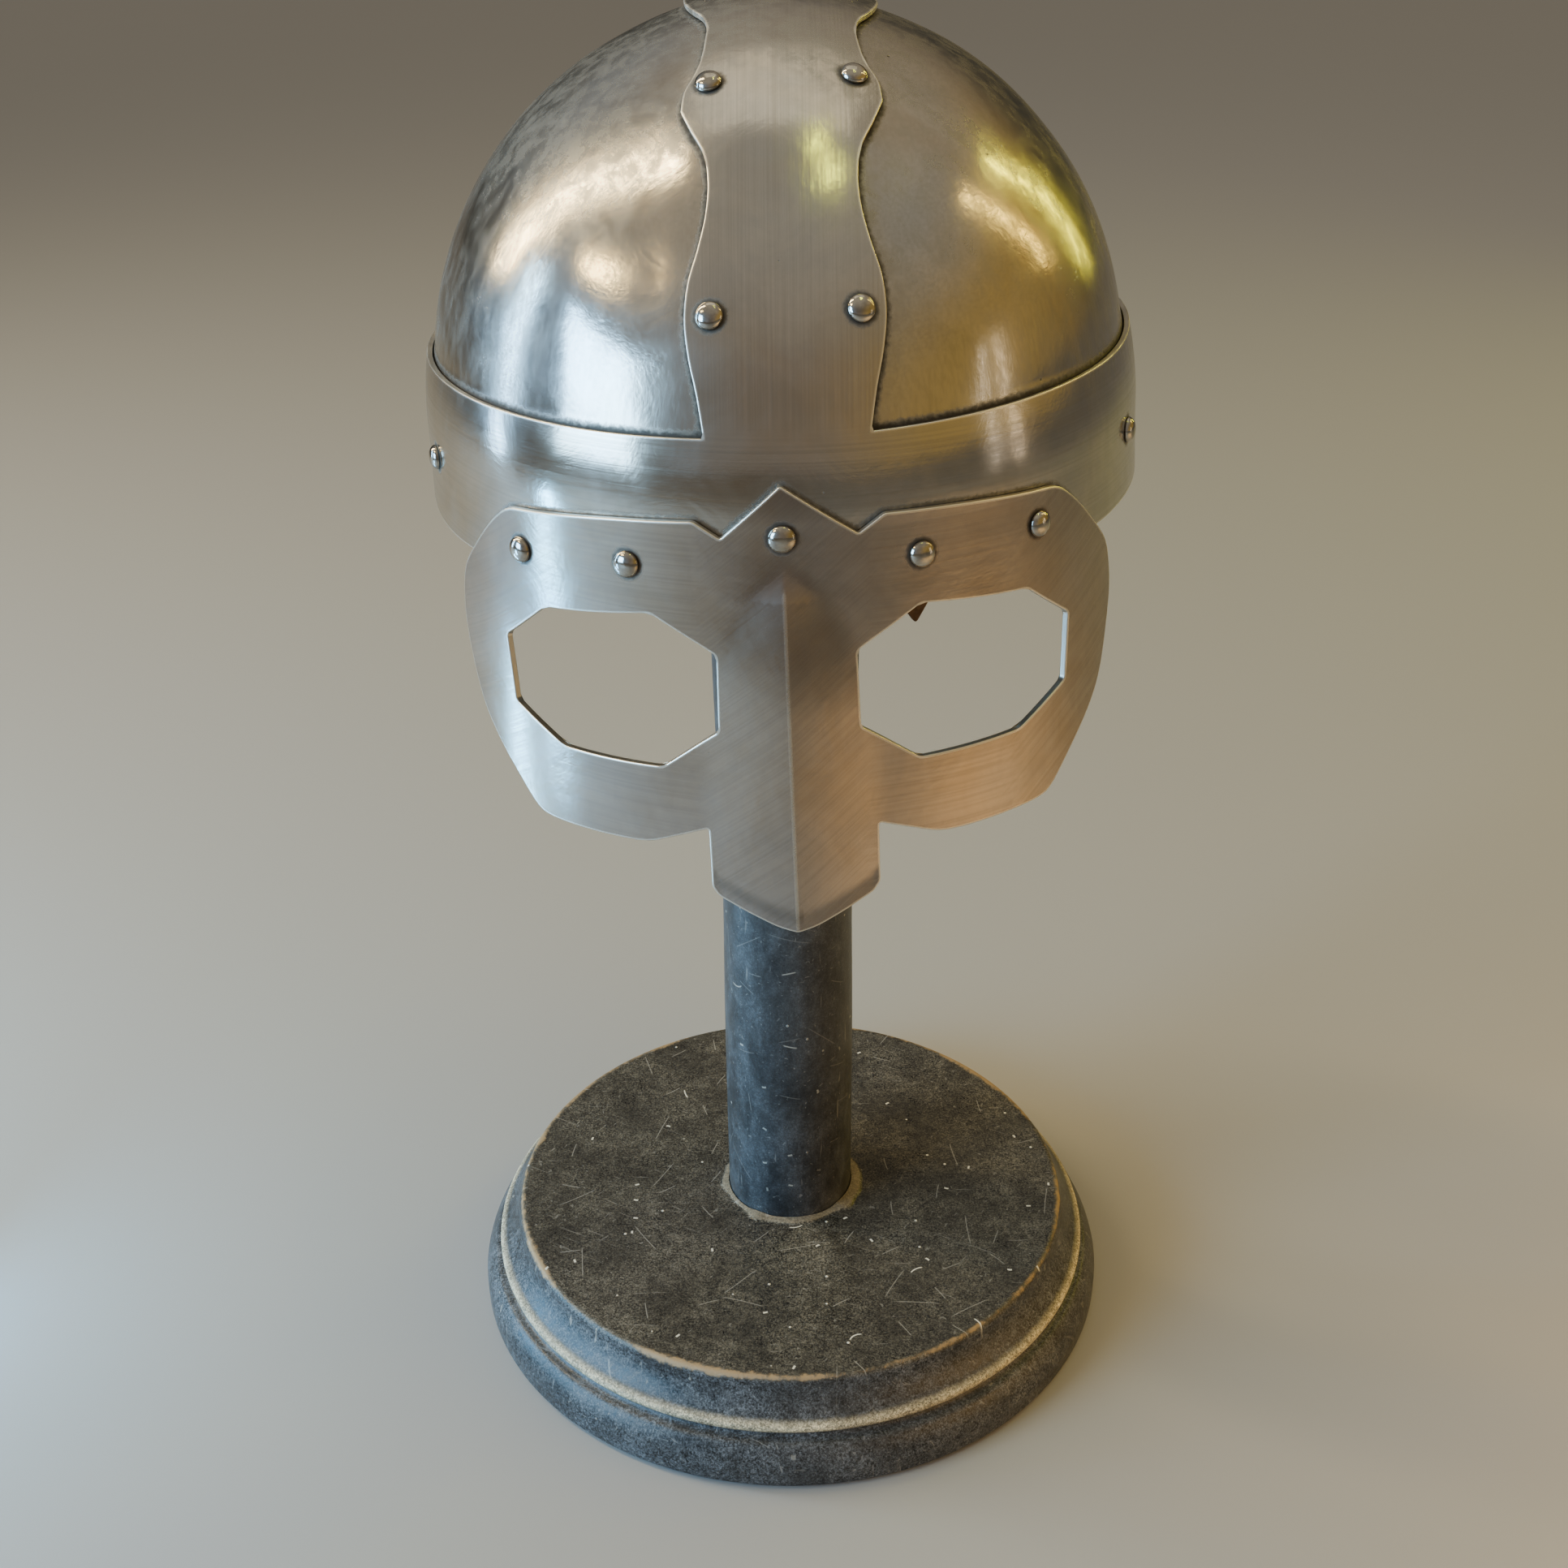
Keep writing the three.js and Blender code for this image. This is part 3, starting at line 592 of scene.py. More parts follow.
dice = random.Random(rivet["seed"])
rivets, seatPoints = [], []
for seat in rivetSeats():
    piece, point = makeRivet(*seat, dice)
    rivets.append(piece)
    seatPoints.append(point)
# distances from the rivets, for the ring of dirt and painted shade round each
keep(framePiece, "rivet", distances(seatPoints, framePoints))
keep(guardPiece, "rivet", distances(seatPoints, guardPoints))
keep(guardPiece, "crease", np.abs(guardPoints[:, 0]) + np.maximum(guardPoints[:, 2] - 4, 0) * 0.3)
# where the painted shadow above the nasal's lip goes: distance from the lip's fold, kept on the left facet
# only
lipLine = np.interp(np.abs(guardPoints[:, 0]), nasalFoot[:, 0], nasalFoot[:, 1]) + 0.7 * guard["lipHeight"]
lipAway = np.abs(guardPoints[:, 2] - lipLine)
leftFacet = (guardPoints[:, 0] > -nasalReach) & (guardPoints[:, 0] < 2)
keep(guardPiece, "lip", np.where(leftFacet, lipAway, 9))
browLine = shellPoint(turnAcross(guardOutline[:, 0], guardOutline[:, 1], guardOuter), guardOutline[:, 1])
# the band's distance from the guard's upper edge, where painted shadow goes
keep(framePiece, "brow", distances(browLine, framePoints))
print("rivets", len(rivets))


def tabSkin(chart, offset):
    return shellPoint(chart[:, 0] / meanRadius, chart[:, 1], offset + underFrame - tab["slack"])


tabAcross = guard["rivets"][tab["rivet"]][0] * guard["halfWidth"]
tabMiddle = float(turnAcross(tabAcross, 0, guardOuter)) * meanRadius
half = tab["halfWidth"] * meanRadius / helmet["halfWidth"]
top = tab["foot"] - helmet["fit"]
left, right = tabMiddle - half, tabMiddle + half
tabOutline = roundedOutline(
    [[left, top, 1], [left, 1, 1.5], [tabMiddle, -tab["drop"], 1.2], [right, 1, 1.5], [right, top, 1]],
    tab["outlineSpacing"])
tabFill = np.array([(tabMiddle + x, z) for x in np.arange(-7, 7.1, tab["spacing"])
                    for z in np.arange(-9, 13, tab["spacing"])])
tabPiece, tabPoints = bentSheet(
    "leather_tab", tabSkin, [tabOutline], tabFill, tab["sheet"], tab["ease"], tab["spacing"])
print("tab", len(tabPoints), "points")

# Stand: turned base and post
stand = {
    "radius": 108.6, "height": 33.4, "socket": 12, "socketGap": 0.3, "around": 288,
    "profile": [[0.985, 0], [1, 0.06], [0.997, 0.25], [0.98, 0.38], [0.96, 0.455], [0.941, 0.475],
                [0.932, 0.515], [0.945, 0.55], [0.947, 0.605], [0.925, 0.662], [0.905, 0.74],
                [0.882, 0.88], [0.876, 0.965], [0.868, 1]],
    "rimSteps": 84, "topRings": 60, "crustRings": 16, "sharpAngle": 38,
    "crustReach": 4.4, "crustHeight": 1.5, "crustWaves": 22, "crustSeed": 5,
}
post = {"radius": 21.4, "reach": 387.1, "capRise": 21, "around": 128, "rings": 150, "capRings": 14,
        "profile": [[1, 0], [1, 0.22], [0.98, 0.33], [1.05, 0.55], [1.05, 1]]}


def softened(rows, steps):
    rows = np.array(rows, float)
    run = runAlong(rows)
    marks = np.linspace(0, run[-1], steps)
    sides = [throughRows(list(zip(run, rows[:, k])))(marks) for k in range(2)]
    return np.stack(sides, -1)


def standBase():
    radius, tall = stand["radius"], stand["height"]
    rim = softened([(r * radius, z * tall) for r, z in stand["profile"]], stand["rimSteps"])
    rim[:, 0] = np.minimum(rim[:, 0], radius)
    rim[:, 1] = np.clip(rim[:, 1], 0, tall)
    rim[-1] = (rim[-1][0] - 0.2, tall)
    socket = post["radius"] + stand["socketGap"]
    inward = np.concatenate([np.linspace(rim[-1][0] - 1.2, socket + 5, stand["topRings"]),
                             np.linspace(socket + 4.6, socket, stand["crustRings"])])
    profile = [(r, tall) for r in inward]
    floorLevel = tall - stand["socket"]
    full = [(0, 0), (radius * 0.9, 0), *rim, *profile, (socket, floorLevel), (0, floorLevel)]
    points, faces = lathe(full, stand["around"])
    reach = np.hypot(points[:, 0], points[:, 1])
    turn = np.arctan2(points[:, 1], points[:, 0])
    dice = random.Random(stand["crustSeed"])
    lumps = sum(math.cos(dice.uniform(0, 6)) * np.sin(k * turn + dice.uniform(0, 6)) / (0.5 + 0.5 * k)
                for k in range(1, stand["crustWaves"]))
    width = stand["crustReach"] * (0.68 + 0.24 * np.clip(lumps, -1.6, 1.6))
    across = np.clip(1 - (reach - socket) / width, 0, 1)
    top = (points[:, 2] > tall - 0.01) & (reach > socket - 0.1) & (reach < socket + 8)
    points[:, 2] += top * stand["crustHeight"] * across ** 0.6 * (0.7 + 0.25 * np.clip(lumps, -1, 1))
    piece = meshPiece("turned_base", points, faces, sharpAngle=stand["sharpAngle"])
    keep(piece, "crust", np.where(top, across, 0))
    return piece


def standPost():
    foot = stand["height"] - stand["socket"] + stand["socketGap"]
    length = stand["height"] + post["reach"] - foot
    widthAt = throughRows([(z, r) for r, z in post["profile"]])
    up = np.linspace(0, 1 - post["capRise"] / length, post["rings"])
    rows = [(0, 0)] + [(float(widthAt(z)) * post["radius"], z * length) for z in up]
    topRadius = post["profile"][-1][0] * post["radius"]
    swing = np.linspace(0, quarterTurn, post["capRings"])[1:]
    cap = [(topRadius * math.cos(s), length - post["capRise"] * (1 - math.sin(s))) for s in swing]
    rows += cap[:-1] + [(0, length)]
    points, faces = lathe(rows, post["around"])
    points[:, 2] += foot
    return meshPiece("turned_post", points, faces, sharpAngle=stand["sharpAngle"])


basePiece = standBase()
postPiece = standPost()
print("stand", len(basePiece.data.polygons) + len(postPiece.data.polygons), "faces")


# Shader maths: a Flow is one socket's value, a Board the node tree that it is on
class Flow:
    def __init__(self, board, socket):
        self.board, self.socket = board, socket

    def math(self, operation, *others):
        return self.board.add("ShaderNodeMath", {"operation": operation}, dict(enumerate((self, *others))))

    def __add__(self, other):
        return self.math("ADD", other)

    __radd__ = __add__

    def __sub__(self, other):
        return self.math("SUBTRACT", other)

    def __rsub__(self, other):
        return self.board.add("ShaderNodeMath", {"operation": "SUBTRACT"}, {0: other, 1: self})

    def __mul__(self, other):
        return self.math("MULTIPLY", other)

    __rmul__ = __mul__

    def __abs__(self):
        return self.math("ABSOLUTE")

    def atLeast(self, other):
        return self.math("MAXIMUM", other)

    def clamped(self):
        return self.atLeast(0.0).math("MINIMUM", 1.0)


class Board:
    def __init__(self, name="", tree=None):
        if tree is None:
            self.material = bpy.data.materials.new(name)
            self.material.use_nodes = True
            tree = self.material.node_tree
        self.nodes, self.links = tree.nodes, tree.links
        self.nodes.clear()

    def add(self, kind, settings=None, sockets=None, out=0):
        node = self.nodes.new(kind)
        for key, value in (settings or {}).items():
            setattr(node, key, value)
        for key, value in (sockets or {}).items():
            socket = node.inputs[key]
            if isinstance(value, Flow):
                self.links.new(value.socket, socket)
            else:
                socket.default_value = (*value, 1) if socket.type == "RGBA" else value
        return Flow(self, node.outputs[out]) if len(node.outputs) else None

    def vector(self, operation, *inputs, out=0):
        return self.add("ShaderNodeVectorMath", {"operation": operation}, dict(enumerate(inputs)), out)

    def helmetPlace(self):
        return self.vector("SUBTRACT", self.standPlace(), (0, helmet["back"], helmet["lift"]))

    def standPlace(self):
        return self.vector("MULTIPLY", self.add("ShaderNodeTexCoord", out="Object"), (1 / mm, 1 / mm, 1 / mm))

    def outputs(self, flow):
        return [Flow(self, socket) for socket in flow.socket.node.outputs[:3]]

    def parts(self, vector):
        return self.outputs(self.add("ShaderNodeSeparateXYZ", {}, {0: vector}))

    def cells(self, vector, scale, **settings):  # distance, colour and middle of each cell
        return self.outputs(self.add("ShaderNodeTexVoronoi", settings, {"Vector": vector, "Scale": scale}))

    def turned(self, vector, angle, axis="Z_AXIS"):
        return self.add("ShaderNodeVectorRotate", {"rotation_type": axis}, {"Vector": vector, "Angle": angle})

    def stretched(self, vector, amounts):
        return self.vector("MULTIPLY", vector, amounts)

    def noise(self, vector, scale=1.0, detail=3.0, rough=0.5, bend=0.0):
        return self.add("ShaderNodeTexNoise", {}, {
            "Vector": vector, "Scale": scale, "Detail": detail, "Roughness": rough, "Distortion": bend})

    def smooth(self, value, low, high, start=0.0, end=1.0):
        return self.add("ShaderNodeMapRange", {"interpolation_type": "SMOOTHSTEP"},
                        {0: value, 1: low, 2: high, 3: start, 4: end})

    def kept(self, label):
        return self.add("ShaderNodeAttribute", {"attribute_name": label}, {}, "Fac")

    def mix(self, share, first, second, blend="MIX"):
        return self.add("ShaderNodeMix", {"data_type": "RGBA", "blend_type": blend},
                        {0: share, 6: first, 7: second}, 2)

    def blendValues(self, share, first, second):
        return self.add("ShaderNodeMix", {"data_type": "FLOAT"}, {0: share, 2: first, 3: second})

    def blendPairs(self, share, firsts, seconds):
        return [self.blendValues(share, first, second) for first, second in zip(firsts, seconds)]

    def finish(self, color, roughness, metallic, height, bumpMm, **constants):
        bump = self.add("ShaderNodeBump", {}, {"Strength": 1.0, "Distance": bumpMm * mm, "Height": height})
        shader = self.add("ShaderNodeBsdfPrincipled", {}, {
            "Base Color": color, "Roughness": roughness, "Metallic": metallic, "Normal": bump, **constants})
        self.add("ShaderNodeOutputMaterial", {}, {"Surface": shader})
        return self.material


# Steel
steelLook = {
    "bright": (0.60, 0.585, 0.56), "warm": (0.52, 0.475, 0.41), "cool": (0.47, 0.48, 0.49),
    "tarnish": (0.34, 0.335, 0.32), "grimeAndShade": (0.030, 0.024, 0.019),
    "brushLine": (0.20, 0.19, 0.175), "brushStreak": (0.36, 0.35, 0.34),
    "edge": (0.86, 0.83, 0.76), "lipShade": (0.12, 0.105, 0.09),
    "rough": 0.165, "cloudRough": 0.06, "brushRough": 0.08, "tarnishRough": 0.16, "lines": 0.17,
    "sideZone": (44, 92), "aboveBand": (30, 46), "sideShare": 0.75, "belowDome": 14, "overDome": 40,
    "grimeAndShadeRough": 0.35, "edgeRough": 0.14, "pitScale": 0.11, "guardLines": (0.014, 0.014, 1.6),
}
rivetLook = {"pale": (0.52, 0.50, 0.46), "dark": (0.34, 0.33, 0.31), "rough": 0.14}


def steel(name, brush, tarnishFrom, cloudScale, seams=(), rough=0.0, tintAndShade=(1.0, 0.98, 0.95), streaks=0.22,
          nasal=False):
    b, look = Board(name), steelLook
    place = b.helmetPlace()
    x, y, z = b.parts(place)
    fine, coarse = brush(b, place, x, y, z)
    cloud = b.noise(place, cloudScale, 5, 0.62, 0.6)
    haze = b.noise(place, cloudScale * 0.36, 3, 0.5, 0.3)
    film = b.noise(place, 0.026, 2, 0.5, 0.6)
    smear = b.noise(b.stretched(place, (0.22, 0.22, 0.09)), 1.0, 5, 0.62, 0.4)
    smudge = b.smooth(smear, 0.36, 0.66) * b.smooth(film, 0.25, 0.60)
    # tarnish gathers up on the dome and at its sides
    aside = b.smooth(abs(x), *look["sideZone"]) * b.smooth(z, *look["aboveBand"])
    aloft = b.smooth(z, tarnishFrom - look["belowDome"], tarnishFrom + look["overDome"])
    aloft = aloft.atLeast(aside * look["sideShare"])
    amount = b.smooth(film, 0.30, 0.72) * 0.35 + smudge * 0.75
    tarnish = amount * (aloft * 0.9 + 0.14)
    # clouds, then the brush's lines, a painted highlight along the edges, and the dirt with painted shade
    color = b.mix(b.smooth(haze, 0.36, 0.64), look["warm"], look["cool"])
    color = b.mix(b.smooth(cloud, 0.3, 0.7) * 0.6, color, look["bright"])
    color = b.mix(tarnish.clamped(), color, look["tarnish"])
    color = b.mix(b.smooth(fine, 0.35, 0.68) * look["lines"], color, look["brushLine"])
    color = b.mix(coarse * streaks, color, look["brushStreak"])
    # painted shade: this multiply darkens and warms the steel, the guard's much more than the frame's
    color = b.mix(1.0, color, tintAndShade, "MULTIPLY")
    # painted highlight: the steel is made paler along every sheet edge, and on the guard along the nasal's
    # crease
    edge = b.smooth(b.kept("rim"), 0.8, 0.2)
    if nasal:
        edge = edge.atLeast(b.smooth(b.kept("crease"), 0.75, 0.15) * 0.45)
        # painted shadow: darker steel along the lip's fold on the nasal's left facet
        color = b.mix(b.smooth(b.kept("lip"), 3.0, 0.2) * 0.28, color, look["lipShade"])
    color = b.mix(edge * 0.8, color, look["edge"])
    pits, pitHue = b.cells(place, look["pitScale"])[:2]
    pitMask = b.smooth(pits, 0.05, 0.028) * b.smooth(b.parts(pitHue)[0], 0.86, 0.88)
    grimeAndShade = pitMask * 0.8
    # dark rings round the rivets and dark lines by the guard's upper edge and the plates' seams: dirt with
    # painted shade
    for label, near, far, amount in seams:
        ragged = b.kept(label) + (b.noise(place, 0.8, 3, 0.6) - 0.5) * (far - near) * 0.9
        grimeAndShade = grimeAndShade.atLeast(b.smooth(ragged, far, near) * amount)
    color = b.mix(grimeAndShade, color, look["grimeAndShade"])
    roughness = (look["rough"] + rough + (cloud - 0.5) * look["cloudRough"] * 2
                 + (fine - 0.5) * look["brushRough"] * 2 + tarnish * look["tarnishRough"]
                 + grimeAndShade * look["grimeAndShadeRough"] + edge * look["edgeRough"]).clamped()
    metallic = (1.0 - grimeAndShade * 0.7 - tarnish * 0.35).clamped()
    height = fine * 0.012 + coarse * 0.01 + cloud * 0.14 + haze * 0.55 - pitMask * 0.08
    return b.finish(color, roughness, metallic, height, 1.0)


def brushPair(b, place, amounts, seed):  # fine lines and coarser streaks, along the smallest amounts
    shifted = b.vector("ADD", b.stretched(place, amounts), (seed, seed * 1.7, seed * 0.3))
    fine = b.noise(shifted, 1.0, 3, 0.6)
    coarse = b.smooth(b.noise(b.stretched(shifted, (0.24, 0.24, 0.24)), 1.0, 3, 0.6), 0.55, 0.8)
    return fine, coarse


def frameBrush(b, place, x, y, z):
    front = brushPair(b, place, (1.7, 0.014, 0.014), 3.1)
    side = brushPair(b, place, (0.014, 1.7, 0.014), 8.3)
    band = brushPair(b, place, (0.012, 0.012, 1.7), 5.7)
    strapWay = b.blendPairs(b.smooth(abs(x) - abs(y), -6, 6), front, side)
    return b.blendPairs(b.smooth(z, 47, 36), strapWay, band)


def plateBrush(b, place, *ways):
    down = brushPair(b, place, (0.9, 0.9, 0.03), 1.9)
    slant = brushPair(b, place, (1.2, 0.03, 1.4), 6.1)
    return b.blendPairs(b.smooth(b.noise(place, 0.03, 2, 0.5), 0.4, 0.6), down, slant)


def guardBrush(b, place, x, *ways):
    turned, lines = b.turned(place, 0.7, "Y_AXIS"), steelLook["guardLines"]
    level = brushPair(b, place, lines, 2.3)
    slant = brushPair(b, turned, lines, 9.2)
    nasal = brushPair(b, turned, lines, 4.4)
    away = b.blendPairs(b.smooth(abs(x), 50, 66), level, slant)
    return b.blendPairs(b.smooth(abs(x), 24, 17), away, nasal)


# the brow line is painted shadow on the band under the guard's upper edge
frameSteel = steel("polishedFrameSteel", frameBrush, 78, 0.05,
                   [("rivet", 3.5, 4.9, 0.75), ("brow", 0.2, 1.5, 0.6)])
plateSteel = steel("hammeredPlateSteel", plateBrush, 62, 0.045, [("seam", 0.3, 2.2, 0.9)])
# the guard's steel is a darker, warmer copy of the frame's: painted shade
guardSteel = steel("satinGuardSteel", guardBrush, 200, 0.05, [("rivet", 3.5, 4.7, 0.7)],
                   rough=0.05, tintAndShade=(0.87, 0.80, 0.755), streaks=0.10, nasal=True)


def rivetSteel():
    b = Board("polishedRivetSteel")
    place = b.helmetPlace()
    cloud = b.noise(place, 0.4, 4, 0.6)
    scuff = b.noise(b.stretched(place, (2.5, 2.5, 0.4)), 1.0, 3, 0.6)
    color = b.mix(b.smooth(cloud, 0.35, 0.7), rivetLook["pale"], rivetLook["dark"])
    roughness = (rivetLook["rough"] + (cloud - 0.5) * 0.14 + (scuff - 0.5) * 0.12).clamped()
    return b.finish(color, roughness, 1.0, cloud * 0.06 + scuff * 0.01, 1.0)


# Leather
leatherLook = {"pale": (0.20, 0.115, 0.06), "dark": (0.11, 0.06, 0.03), "rough": 0.55, "grainScale": 1.3}


def tabLeather():
    b = Board("brownTabLeather")
    place = b.helmetPlace()
    grain = b.cells(place, leatherLook["grainScale"], feature="SMOOTH_F1")[0]
    stain = b.noise(place, 0.3, 4, 0.6)
    color = b.mix(b.smooth(stain, 0.3, 0.7), leatherLook["pale"], leatherLook["dark"])
    return b.finish(color, leatherLook["rough"] + grain * 0.2, 0.0, grain * 0.15 + stain * 0.05, 1.0)


# Black painted wood
woodLook = {
    "paint": (0.011, 0.011, 0.012), "faded": (0.040, 0.038, 0.035), "haze": (0.27, 0.25, 0.205),
    "sideDustAndSheen": (0.23, 0.24, 0.255), "postDustAndSheen": (0.22, 0.235, 0.255),
    "bare": (0.46, 0.33, 0.19), "beadWearHighlight": (0.98, 0.85, 0.58), "crust": (0.34, 0.29, 0.21),
    "dust": (0.50, 0.48, 0.44), "lint": (0.80, 0.77, 0.68), "rough": 0.32,
    "hazeOnTop": 1.3, "dustAndSheenOnSide": 1.4, "dustAndSheenOnPost": 1.1, "lintScale": 0.16,
    "rim": (94.6, 33.4), "bead": (103.0, 20.2),  # radius and height of the two worn edges; the bead's also carries a painted highlight
    "rimRagged": (5.0, 3.0, 5.0, 7.0), "beadRagged": (3.6, 3.0, 2.0),
    "markLines": ((0.05, 1.5, 0.5), (1.4, 0.07, 0.4), (0.5, 0.45, 0.05), (0.9, 0.12, 0.9)),
    # spread, length, width, share kept, curl
    "scratches": ((0.036, 8.0, 0.24, 0.5, 0.01), (0.062, 4.0, 0.26, 0.4, 0.03)),
    "threads": ((0.11, 0.9, 0.5, 0.12, 0.5), (0.05, 2.6, 0.34, 0.10, 0.3)),
}


def fibres(b, flat, spread, length, width, kept, curl):  # short bent lines, one in each cell that is kept
    hue, middle = b.cells(flat, spread, voronoi_dimensions="2D")[1:]
    tone = b.parts(hue)
    across, along = b.parts(b.turned(b.vector("SUBTRACT", flat, middle), tone[1] * wholeTurn))[:2]
    bent = abs(across + along * along * (tone[2] - 0.5) * curl)
    line = b.smooth(bent, width, width * 0.4) * b.smooth(abs(along), length, length * 0.7)
    return line * b.smooth(tone[0], kept + 0.01, kept - 0.01)


def blackWood(name, isBase):
    b, look = Board(name), woodLook
    place = b.standPlace()
    x, y, z = b.parts(place)
    reach = b.vector("LENGTH", b.vector("MULTIPLY", place, (1, 1, 0)), out=1)
    cloud = b.noise(place, 0.03, 6, 0.65, 0.5)
    fine = b.noise(place, 0.35, 6, 0.7, 0.2)
    grit = b.noise(place, 1.5, 5, 0.75, 0.6)
    faded = b.smooth(cloud, 0.35, 0.7) * 0.65 + b.smooth(fine, 0.45, 0.75) * 0.35
    color = b.mix(faded, look["paint"], look["faded"])
    patch = b.smooth(b.noise(place, 0.045, 5, 0.66, 0.4), 0.3, 0.7) * 0.6 + 0.4
    grain = b.smooth(grit, 0.40, 0.70) * 0.75 + b.smooth(fine, 0.38, 0.72) * 0.25
    if isBase:
        # the sides get a stronger, bluish film: dust, with a painted cool sheen
        upward = b.smooth(z, 31.5, 33.2)
        most = b.blendValues(upward, look["dustAndSheenOnSide"], look["hazeOnTop"])
        haze = (patch * grain * most).clamped()
        color = b.mix(haze, color, b.mix(upward, look["sideDustAndSheen"], look["haze"]))
        rimFar, beadFar = [abs(reach - away) + abs(z - up) for away, up in (look["rim"], look["bead"])]
        noises = (fine, grit, cloud, b.noise(place, 0.022, 2, 0.5))
        rimRagged, beadRagged = [sum((noise - 0.5) * amount for noise, amount in zip(noises, look[label]))
                                 for label in ("rimRagged", "beadRagged")]
        rimWear = b.smooth(rimFar + rimRagged, 1.6, 0.1)
        beadWearHighlightRing = b.smooth(beadFar + beadRagged, 5.0, 0.8)
        crust = b.smooth(b.kept("crust") + (grit - 0.5) * 0.35, 0.04, 0.3)
        color = b.mix(rimWear * 0.8, color, look["bare"])
        # the bead: worn paint, with a painted highlight along it
        beadWearHighlightShare = (beadWearHighlightRing * (0.15 + 0.95 * grain) * (0.55 + 0.7 * patch)).clamped()
        color = b.mix(beadWearHighlightShare, color, look["beadWearHighlight"])
        color = b.mix(crust * (0.45 + 0.5 * grain), color, look["crust"])
        worn = rimWear.atLeast(beadWearHighlightRing).atLeast(crust).atLeast(haze * 0.8)
        flat, strewn = place, upward * 0.75 + 0.25
    else:
        # a bluish film all round the post: dust, with a painted cool sheen
        smear = b.noise(b.stretched(place, (1.0, 1.0, 0.5)), 0.12, 6, 0.72, 0.3)
        haze = (b.smooth(smear, 0.3, 0.8) * 0.6 + 0.22) * (0.4 + 0.6 * grain) * look["dustAndSheenOnPost"]
        color = b.mix(haze.clamped(), color, look["postDustAndSheen"])
        worn = haze.clamped()
        turn = x.math("ARCTAN2", y * -1.0) * post["radius"]
        flat, strewn = b.add("ShaderNodeCombineXYZ", {}, {0: turn, 1: z, 2: 0.0}), 0.45
    marks = 0.0
    for k, amounts in enumerate(look["markLines"]):
        turned = b.turned(place, 0.5 + 1.1 * k, "AXIS_ANGLE")
        line = b.noise(b.stretched(turned, amounts), 1.0, 2, 0.5, 0.5)
        marks = b.smooth(line, 0.69, 0.75).atLeast(marks)
    specks, speckHue = b.cells(place, look["lintScale"])[:2]
    lint = b.smooth(specks, 0.10, 0.06) * b.smooth(b.parts(speckHue)[0], 0.80, 0.82)
    scratches = threads = 0.0
    for amounts in look["scratches"]:
        scratches = fibres(b, flat, *amounts).atLeast(scratches)
    for amounts in look["threads"]:
        threads = fibres(b, flat, *amounts).atLeast(threads)
    color = b.mix(marks * 0.28, color, look["dust"])
    color = b.mix(scratches * strewn * 0.42, color, look["dust"])
    color = b.mix((threads.atLeast(lint) * strewn) * 0.9, color, look["lint"])
    roughness = (look["rough"] + (cloud - 0.5) * 0.25 + (fine - 0.5) * 0.25 + worn * 0.3 + marks * 0.1
                 + lint * 0.3).clamped()
    height = fine * 0.08 + grit * 0.05 + cloud * 0.1 - marks * 0.02 - worn * 0.05 + lint * 0.15
    return b.finish(color, roughness, 0.0, height, 1.0)


# Dress the pieces
def dress(piece, material, slot, *nodes):
    piece.data.materials.append(material)
    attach(piece, "root")
    if nodes:
        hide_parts(*nodes)


dress(framePiece, frameSteel, "frame_steel", "frame")
for label, piece in plates.items():
    dress(piece, plateSteel, "plate_steel", f"skull_plate_{label}")
dress(guardPiece, guardSteel, "guard_steel", "spectacle_guard")
domeSteel = rivetSteel()
for piece in rivets:
    dress(piece, domeSteel, "rivet_steel")
dress(tabPiece, tabLeather(), "tab_leather", "lining_tab")
dress(basePiece, blackWood("wornBlackBase", True), "black_wood", "stand_base")
dress(postPiece, blackWood("wornBlackPost", False), "black_wood", "stand_post")
print("materials done")

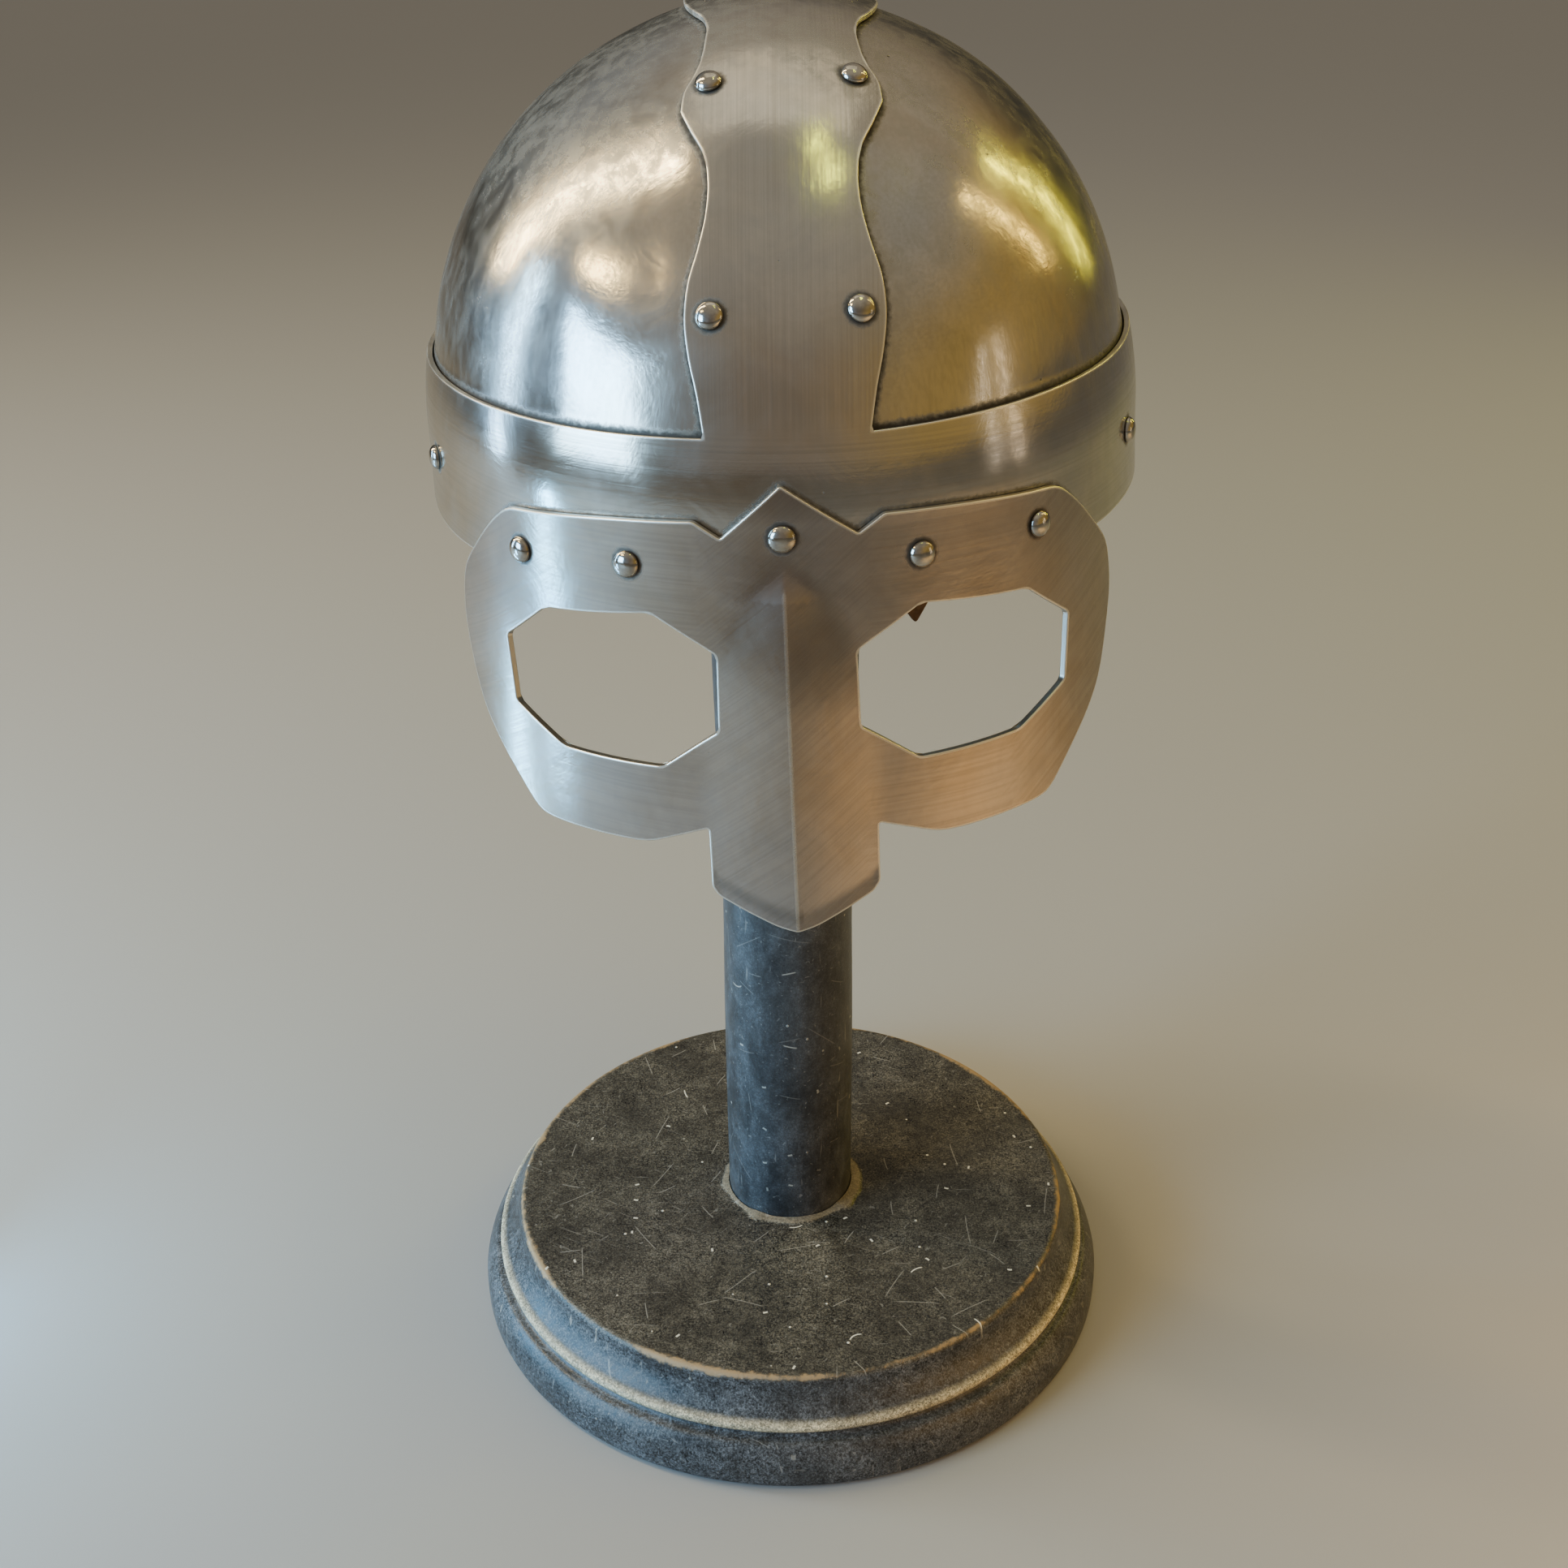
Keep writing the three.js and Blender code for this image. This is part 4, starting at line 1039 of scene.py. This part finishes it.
# Floor, light and camera
studio = {
    "floorSize": 60.0, "floorColor": (0.40, 0.392, 0.382), "floorShade": (0.375, 0.37, 0.365),
    "aim": (0.0, 0.0, 0.36), "contrast": "AgX - Medium High Contrast",
    "world": {"middle": (0.29, 0.25, 0.205), "left": (0.27, 0.33, 0.40), "right": (0.44, 0.31, 0.12),
              "above": (0.44, 0.40, 0.33), "behind": (0.06, 0.058, 0.05), "power": 1.0,
              "backdrop": (0.25, 0.24, 0.225)},
    # name, direction round from the front and up, distance, width, height, lean, power, colour
    "lights": [
        ("windowLeft", -61, 10, 1.45, 0.72, 0.74, 0, 19, (0.40, 0.70, 1.0)),
        ("windowLeftFar", -100, 5, 1.45, 0.12, 0.86, 0, 4.4, (0.40, 0.70, 1.0)),
        ("windowLeftUpper", -108, 38, 1.6, 0.12, 1.6, -14, 13, (1.0, 0.80, 0.46)),
        ("lampLeft", -69, 40, 1.6, 0.42, 0.12, 20, 2.7, (1.0, 0.74, 0.34)),
        ("lampRightOuter", 127, 20, 1.6, 0.04, 1.05, 16, 2.2, (0.98, 0.92, 0.12)),
        ("lampRightInner", 106, 32, 1.6, 0.04, 1.05, 20, 1.6, (1.0, 0.74, 0.22)),
        ("lampRightFront", 71, 2, 1.5, 0.03, 0.6, 0, 0.16, (1.0, 0.86, 0.70)),
        ("lampRightFrontNext", 79, 2, 1.5, 0.04, 0.6, 0, 0.22, (1.0, 0.80, 0.58)),
        ("lampOverhead", 82, 79, 1.5, 0.24, 0.016, 0, 0.3, (0.95, 1.0, 0.12)),
        ("lampOverheadNext", 58, 73, 1.5, 0.24, 0.016, 0, 0.3, (0.95, 1.0, 0.14)),
        ("softOverhead", 180, 72, 1.8, 1.3, 0.9, 0, 1.9, (1.0, 0.90, 0.68)),
    ],
    # small cards that show in the guard: name, place, aim, width, height, power, colour
    "cards": [
        ("cheekLow", (-0.349, -0.023, 0.076), (-0.066, -0.078, 0.234), 0.022, 0.14, 0.24, (0.22, 0.60, 1.0)),
        ("cheekHigh", (-0.523, -0.147, 0.12), (-0.063, -0.09, 0.303), 0.034, 0.14, 0.34, (0.22, 0.60, 1.0)),
    ],
    # they face down: name, direction round, distance from the middle, height, width, length, power, colour
    "pools": [
        ("poolLeft", -88, 0.62, 0.20, 0.24, 0.3, 1.3, (0.45, 0.75, 1.0)),
        ("poolRight", 60, 0.70, 0.22, 0.5, 0.5, 2.5, (1.0, 0.62, 0.26)),
    ],
}
camera = {"place": (0.0, -0.51966, 0.46836), "pitch": 0.48888, "yaw": -0.00148, "roll": 0.010005,
          "lens": 42.86, "sensor": 36}


def makeFloor():
    half = studio["floorSize"] / 2 / mm
    corners = np.array([(-half, -half, 0), (half, -half, 0), (half, half, 0), (-half, half, 0)])
    floor = meshPiece("floor", corners, [(0, 1, 2, 3)])
    b = Board("paleFloor")
    tone = b.noise(b.add("ShaderNodeTexCoord", out="Object"), 3.0, 3, 0.5)
    color = b.mix(tone * 0.2, studio["floorColor"], studio["floorShade"])
    floor.data.materials.append(b.finish(color, 0.7, 0.0, tone, 0.2))


def hangLamp(name, place, turned, width, height, power, color):
    lamp = bpy.data.lights.new(name, "AREA")
    lamp.shape, lamp.size, lamp.size_y = "RECTANGLE", width, height
    lamp.energy, lamp.color = power, color
    holder = bpy.data.objects.new(name, lamp)
    holder.matrix_world = Matrix.Translation(place) @ turned.to_4x4()
    holder.visible_camera = False
    bpy.context.scene.collection.objects.link(holder)


def makeLights():
    aim = Vector(studio["aim"])
    for name, around, up, distance, width, height, lean, power, color in studio["lights"]:
        around, up = math.radians(around), math.radians(up)
        away = Vector((math.sin(around) * math.cos(up), -math.cos(around) * math.cos(up), math.sin(up)))
        turned = away.to_track_quat("Z", "Y").to_matrix() @ Matrix.Rotation(math.radians(lean), 3, "Z")
        hangLamp(name, aim + away * distance, turned, width, height, power, color)
    for name, place, toward, width, height, power, color in studio["cards"]:
        turned = (Vector(place) - Vector(toward)).to_track_quat("Z", "Y").to_matrix()
        hangLamp(name, Vector(place), turned, width, height, power, color)
    for name, around, away, up, width, length, power, color in studio["pools"]:
        around = math.radians(around)
        place = Vector((math.sin(around) * away, -math.cos(around) * away, up))
        hangLamp(name, place, Matrix.Rotation(around, 3, "Z"), width, length, power, color)


def makeWorld():
    tones = studio["world"]
    world = bpy.data.worlds.new("studio")
    world.use_nodes = True
    b = Board(tree=world.node_tree)
    x, y, z = b.parts(b.add("ShaderNodeTexCoord", out="Generated"))
    color = b.mix(b.smooth(x, 0.05, -0.9), tones["middle"], tones["left"])
    color = b.mix(b.smooth(x, 0.05, 0.9), color, tones["right"])
    color = b.mix(b.smooth(y, 0.1, 0.9) * b.smooth(z, 0.6, 0.2), color, tones["behind"])
    color = b.mix(b.smooth(z, 0.35, 1.0), color, tones["above"])
    # past the floor's far edge a plain tone shows, and the steel still reflects the others
    color = b.mix(b.add("ShaderNodeLightPath", out="Is Camera Ray"), color, tones["backdrop"])
    glow = b.add("ShaderNodeBackground", {}, {"Color": color, "Strength": tones["power"]})
    b.add("ShaderNodeOutputWorld", {}, {"Surface": glow})
    bpy.context.scene.world = world
    bpy.context.scene.view_settings.look = studio["contrast"]


def makeCamera():
    data = bpy.data.cameras.new("photoCamera")
    data.sensor_width, data.lens = camera["sensor"], camera["lens"]
    data.clip_start, data.clip_end = 0.01, 50
    holder = bpy.data.objects.new("photoCamera", data)
    turned = (Matrix.Rotation(-camera["yaw"], 4, "Z") @ Matrix.Rotation(quarterTurn - camera["pitch"], 4, "X")
              @ Matrix.Rotation(-camera["roll"], 4, "Z"))
    holder.matrix_world = Matrix.Translation(camera["place"]) @ turned
    bpy.context.scene.collection.objects.link(holder)
    bpy.context.scene.camera = holder


makeFloor()
makeLights()
makeWorld()
makeCamera()
print("studio done")
